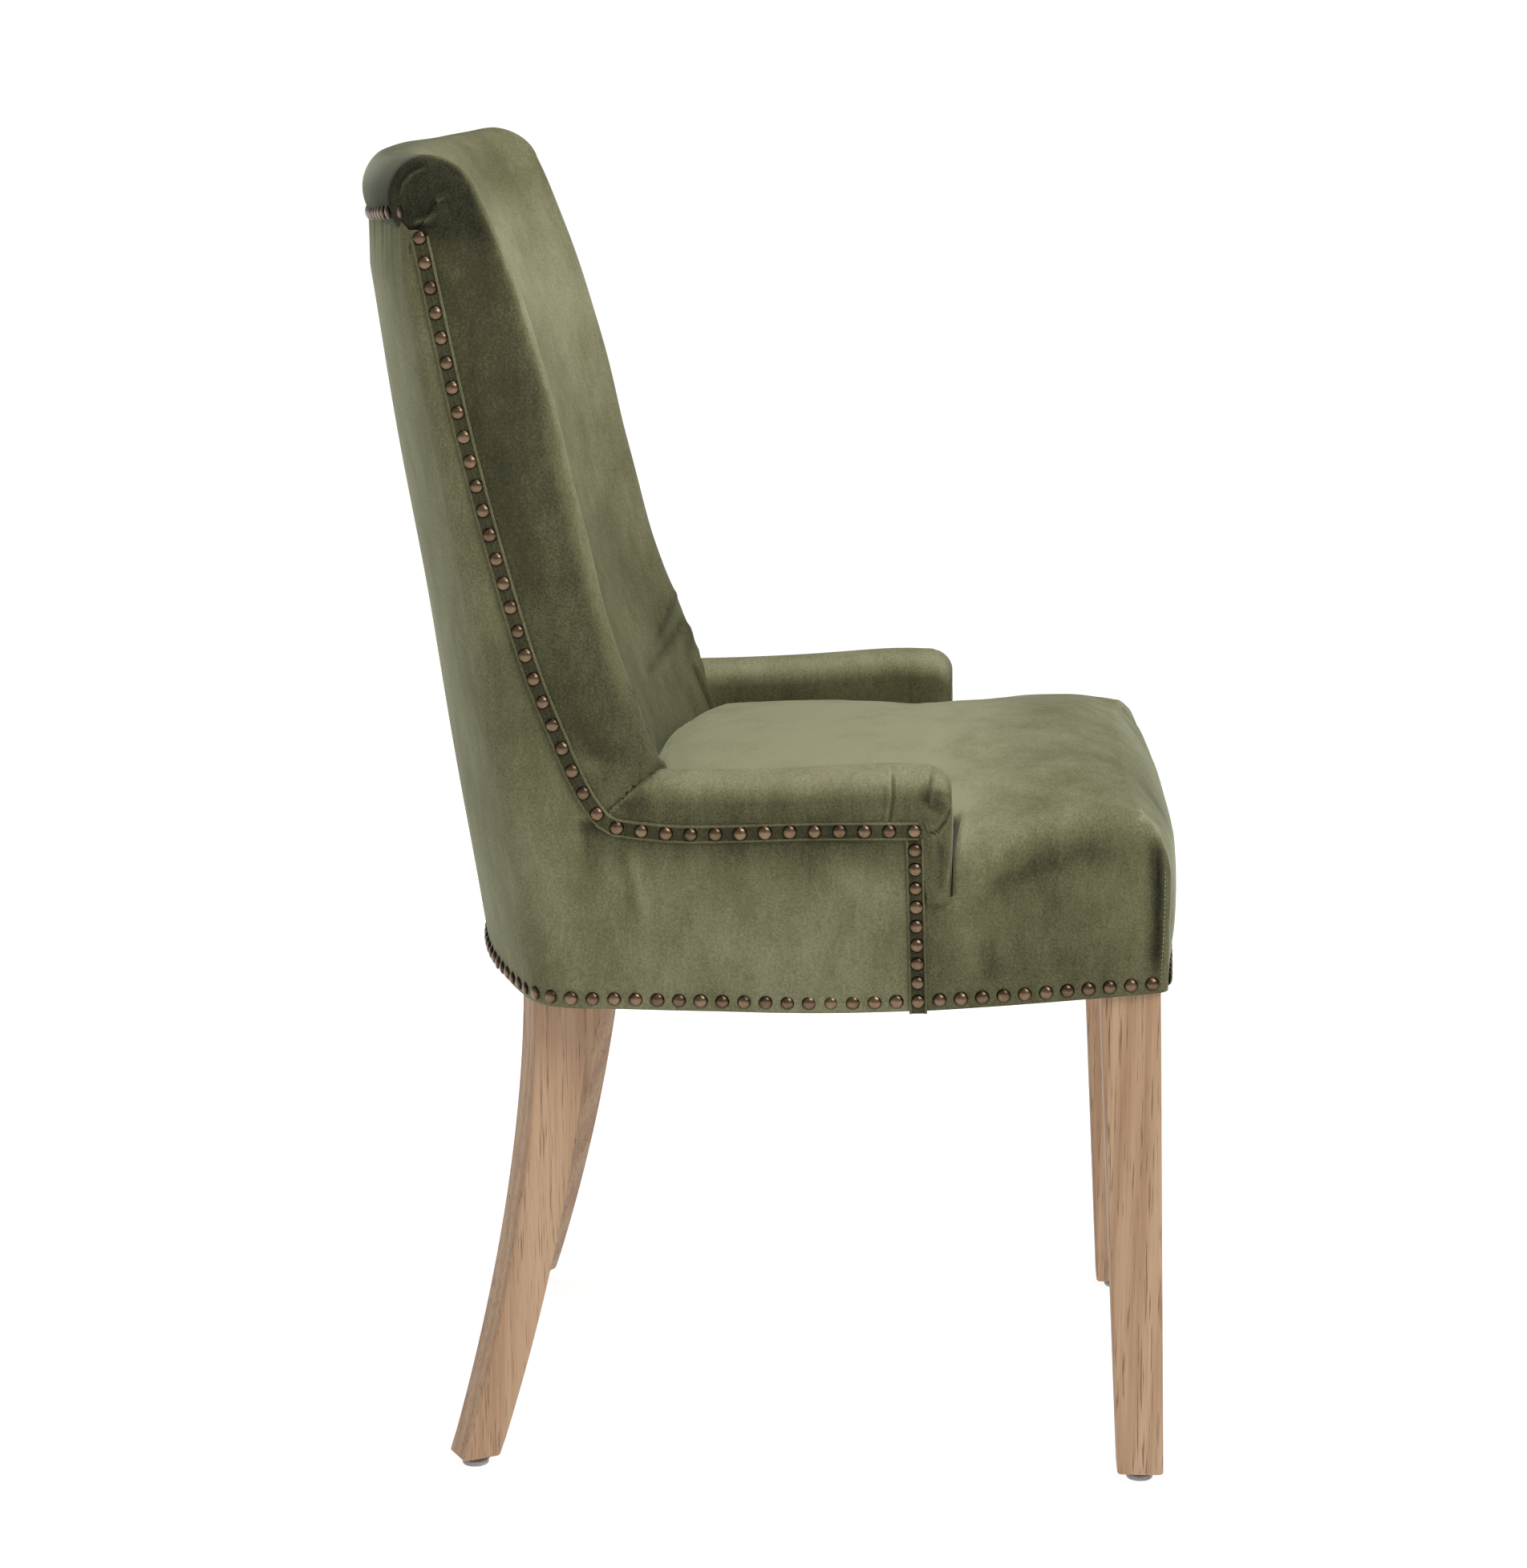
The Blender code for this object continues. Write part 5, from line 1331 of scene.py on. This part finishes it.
def legs():
    """Tapered square front legs, and sabre rear legs that turn outward and sweep back."""
    for side, sign in SIDES:
        rings = []
        for t in spread(0, 1, 9):
            z = mix(LEG_FOOT_Z, 0.4, t)
            share = (z - LEG_FOOT_Z) / (FRONT_LEG_SHOULDER - LEG_FOOT_Z)
            size = mix(FRONT_LEG_FOOT, FRONT_LEG_TOP, min(share, 1))
            y = mix(FRONT_LEG_FOOT_Y, FRONT_LEG_TOP_Y, share)
            x = sign * (FRONT_LEG_X + FRONT_LEG_TOP / 2 - size / 2)
            h = size / 2
            rings.append((z, [(x + h, y - h), (x + h, y + h), (x - h, y + h), (x - h, y - h)]))
        leg(f"front_{side}_leg", rings)
        rings = []
        for z in spread(LEG_FOOT_Z, 0.4, 26):
            t = min((REAR_LEG_SHOULDER - z) / (REAR_LEG_SHOULDER - LEG_FOOT_Z), 1)
            swept = REAR_LEG_SWEEP * (1 - max(t, 0) ** REAR_LEG_POWER)
            back = Vector((sign * math.sin(REAR_LEG_TWIST), math.cos(REAR_LEG_TWIST)))
            across = Vector((sign * math.cos(REAR_LEG_TWIST), -math.sin(REAR_LEG_TWIST)))
            centre = Vector((sign * REAR_LEG_FOOT[0], REAR_LEG_FOOT[1])) - back * swept
            deep = mix(REAR_LEG_FOOT_DEEP, REAR_LEG_TOP_DEEP, min(z / REAR_LEG_SHOULDER, 1)) / 2
            half = REAR_LEG_THICK / 2
            rings.append((z, [tuple(centre + back * u + across * v)
                              for u, v in ((deep, -half), (deep, half), (-deep, half), (-deep, -half))]))
        leg(f"rear_{side}_leg", rings)


def turned(name, x, y, profile, material, node_name, slot_name):
    """A round piece from (radius, height) pairs."""
    rings = [[(x + r * math.cos(a), y + r * math.sin(a), z) for a in spread(0, 2 * math.pi, 33)[:-1]]
             for r, z in profile]
    made = welded(name, [(rings, True)], capped=True)
    made.data.set_sharp_from_angle(angle=math.radians(50))
    dress(made, material, slot_name, node_name)


def glides():
    """A felt pad and a nylon cap under each leg, sized by the solids they stand for."""
    for end in ("front", "rear"):
        for side, _ in SIDES:
            low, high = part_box(f"{end}_{side}_glide_pad")
            x, y, r = (low[0] + high[0]) / 2, (low[1] + high[1]) / 2, (high[0] - low[0]) / 2
            turned(f"glide_felt_{end}_{side}", x, y,
                   ((r * 0.6, 0), (r * 0.94, 0), (r, 0.0006), (r * 1.02, 0.002), (r, 0.0038),
                    (r * 0.6, 0.004)),
                   FELT, f"{end}_{side}_glide_pad", "felt")
            low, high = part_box(f"{end}_{side}_glide_base")
            r = (high[0] - low[0]) / 2
            turned(f"glide_cap_{end}_{side}", x, y,
                   ((r * 0.5, low[2]), (r * 0.9, low[2]), (r * 0.97, low[2] + 0.0006), (r, low[2] + 0.0018),
                    (r, high[2]), (r * 0.5, high[2])),
                   PLASTIC, f"{end}_{side}_glide_base", "glide_plastic")


# ---------------------------------------------------------------- carried-over solids
def repaint():
    """Gives each solid that stays as it is a finish with grain."""
    finishes = {"beech": BEECH, "oak": OAK, "lining": LINING, "webbing": WEBBING, "board": BEECH,
                "foam": FOAM, "velvet": VELVET, "bronze": BRONZE, "felt": FELT, "glide_plastic": PLASTIC}
    for part in frame["record"]["subparts"]:
        for slot in frame["nodes"][part["node"]].material_slots:
            slot.material = finishes[part["material_slot"]]


# ---------------------------------------------------------------- stage
def area_light(name, place, aim, size, power):
    light = bpy.data.lights.new(name, "AREA")
    light.size = size
    light.energy = power
    lamp = linked(bpy.data.objects.new(name, light))
    lamp.location = place
    lamp.rotation_euler = (Vector(aim) - Vector(place)).to_track_quat("-Z", "Y").to_euler()


def stage():
    """A pale floor, a white room, and soft studio light from above and to the left."""
    mesh = bpy.data.meshes.new("floor")
    corners = [(x, y, -0.0002) for x, y in ((-30, -30), (30, -30), (30, 30), (-30, 30))]
    mesh.from_pydata(corners, [], [(0, 1, 2, 3)])
    floor = linked(bpy.data.objects.new("floor", mesh))
    made, _, shader = principled("pale_floor")
    shader.inputs["Base Color"].default_value = (0.45, 0.45, 0.45, 1)
    shader.inputs["Roughness"].default_value = 0.9
    shader.inputs["Specular IOR Level"].default_value = 0.0
    shader.inputs["Emission Color"].default_value = (1, 1, 1, 1)
    shader.inputs["Emission Strength"].default_value = 0.86
    mesh.materials.append(made)

    world = bpy.data.worlds.new("studio")
    world.use_nodes = True
    world.node_tree.nodes["Background"].inputs["Color"].default_value = (1, 1, 1, 1)
    world.node_tree.nodes["Background"].inputs["Strength"].default_value = 0.4
    bpy.context.scene.world = world
    bpy.context.scene.view_settings.view_transform = "Standard"

    area_light("key", (-2.2, -1.5, 2.9), (0, 0, 0.5), size=1.6, power=58)
    area_light("top", (-0.2, -0.3, 3.2), (0, -0.1, 0.5), size=1.4, power=40)


def backdrop():
    """A white surround that only the camera sees."""
    shape = bmesh.new()
    bmesh.ops.create_icosphere(shape, subdivisions=4, radius=40)
    surround = linked(bpy.data.objects.new("backdrop", smooth_mesh("backdrop", shape)))
    made, _, shader = principled("white_surround")
    shader.inputs["Base Color"].default_value = (0, 0, 0, 1)
    shader.inputs["Emission Color"].default_value = (1, 1, 1, 1)
    shader.inputs["Emission Strength"].default_value = 1.0
    surround.data.materials.append(made)
    for ray in ("diffuse", "glossy", "transmission", "volume_scatter", "shadow"):
        setattr(surround, f"visible_{ray}", False)


def camera():
    """Looks at the chair's right side from a little above."""
    lens = bpy.data.cameras.new("camera")
    lens.lens = CAMERA_LENS
    lens.sensor_width = 36
    lens.clip_end = 100
    eye = linked(bpy.data.objects.new("camera", lens))
    eye.location = CAMERA_AT
    flat = math.cos(CAMERA_PITCH)
    ahead = Vector((flat * math.cos(CAMERA_YAW), flat * math.sin(CAMERA_YAW), -math.sin(CAMERA_PITCH)))
    eye.rotation_euler = ahead.to_track_quat("-Z", "Y").to_euler()
    bpy.context.scene.camera = eye


# ---------------------------------------------------------------- assembly
camera()
stage()
backdrop()
repaint()
legs()
glides()
outside_cover()
inside_back()
seat()
for side_name, side_sign in SIDES:
    arm(side_name, side_sign)
trim()
stitches()
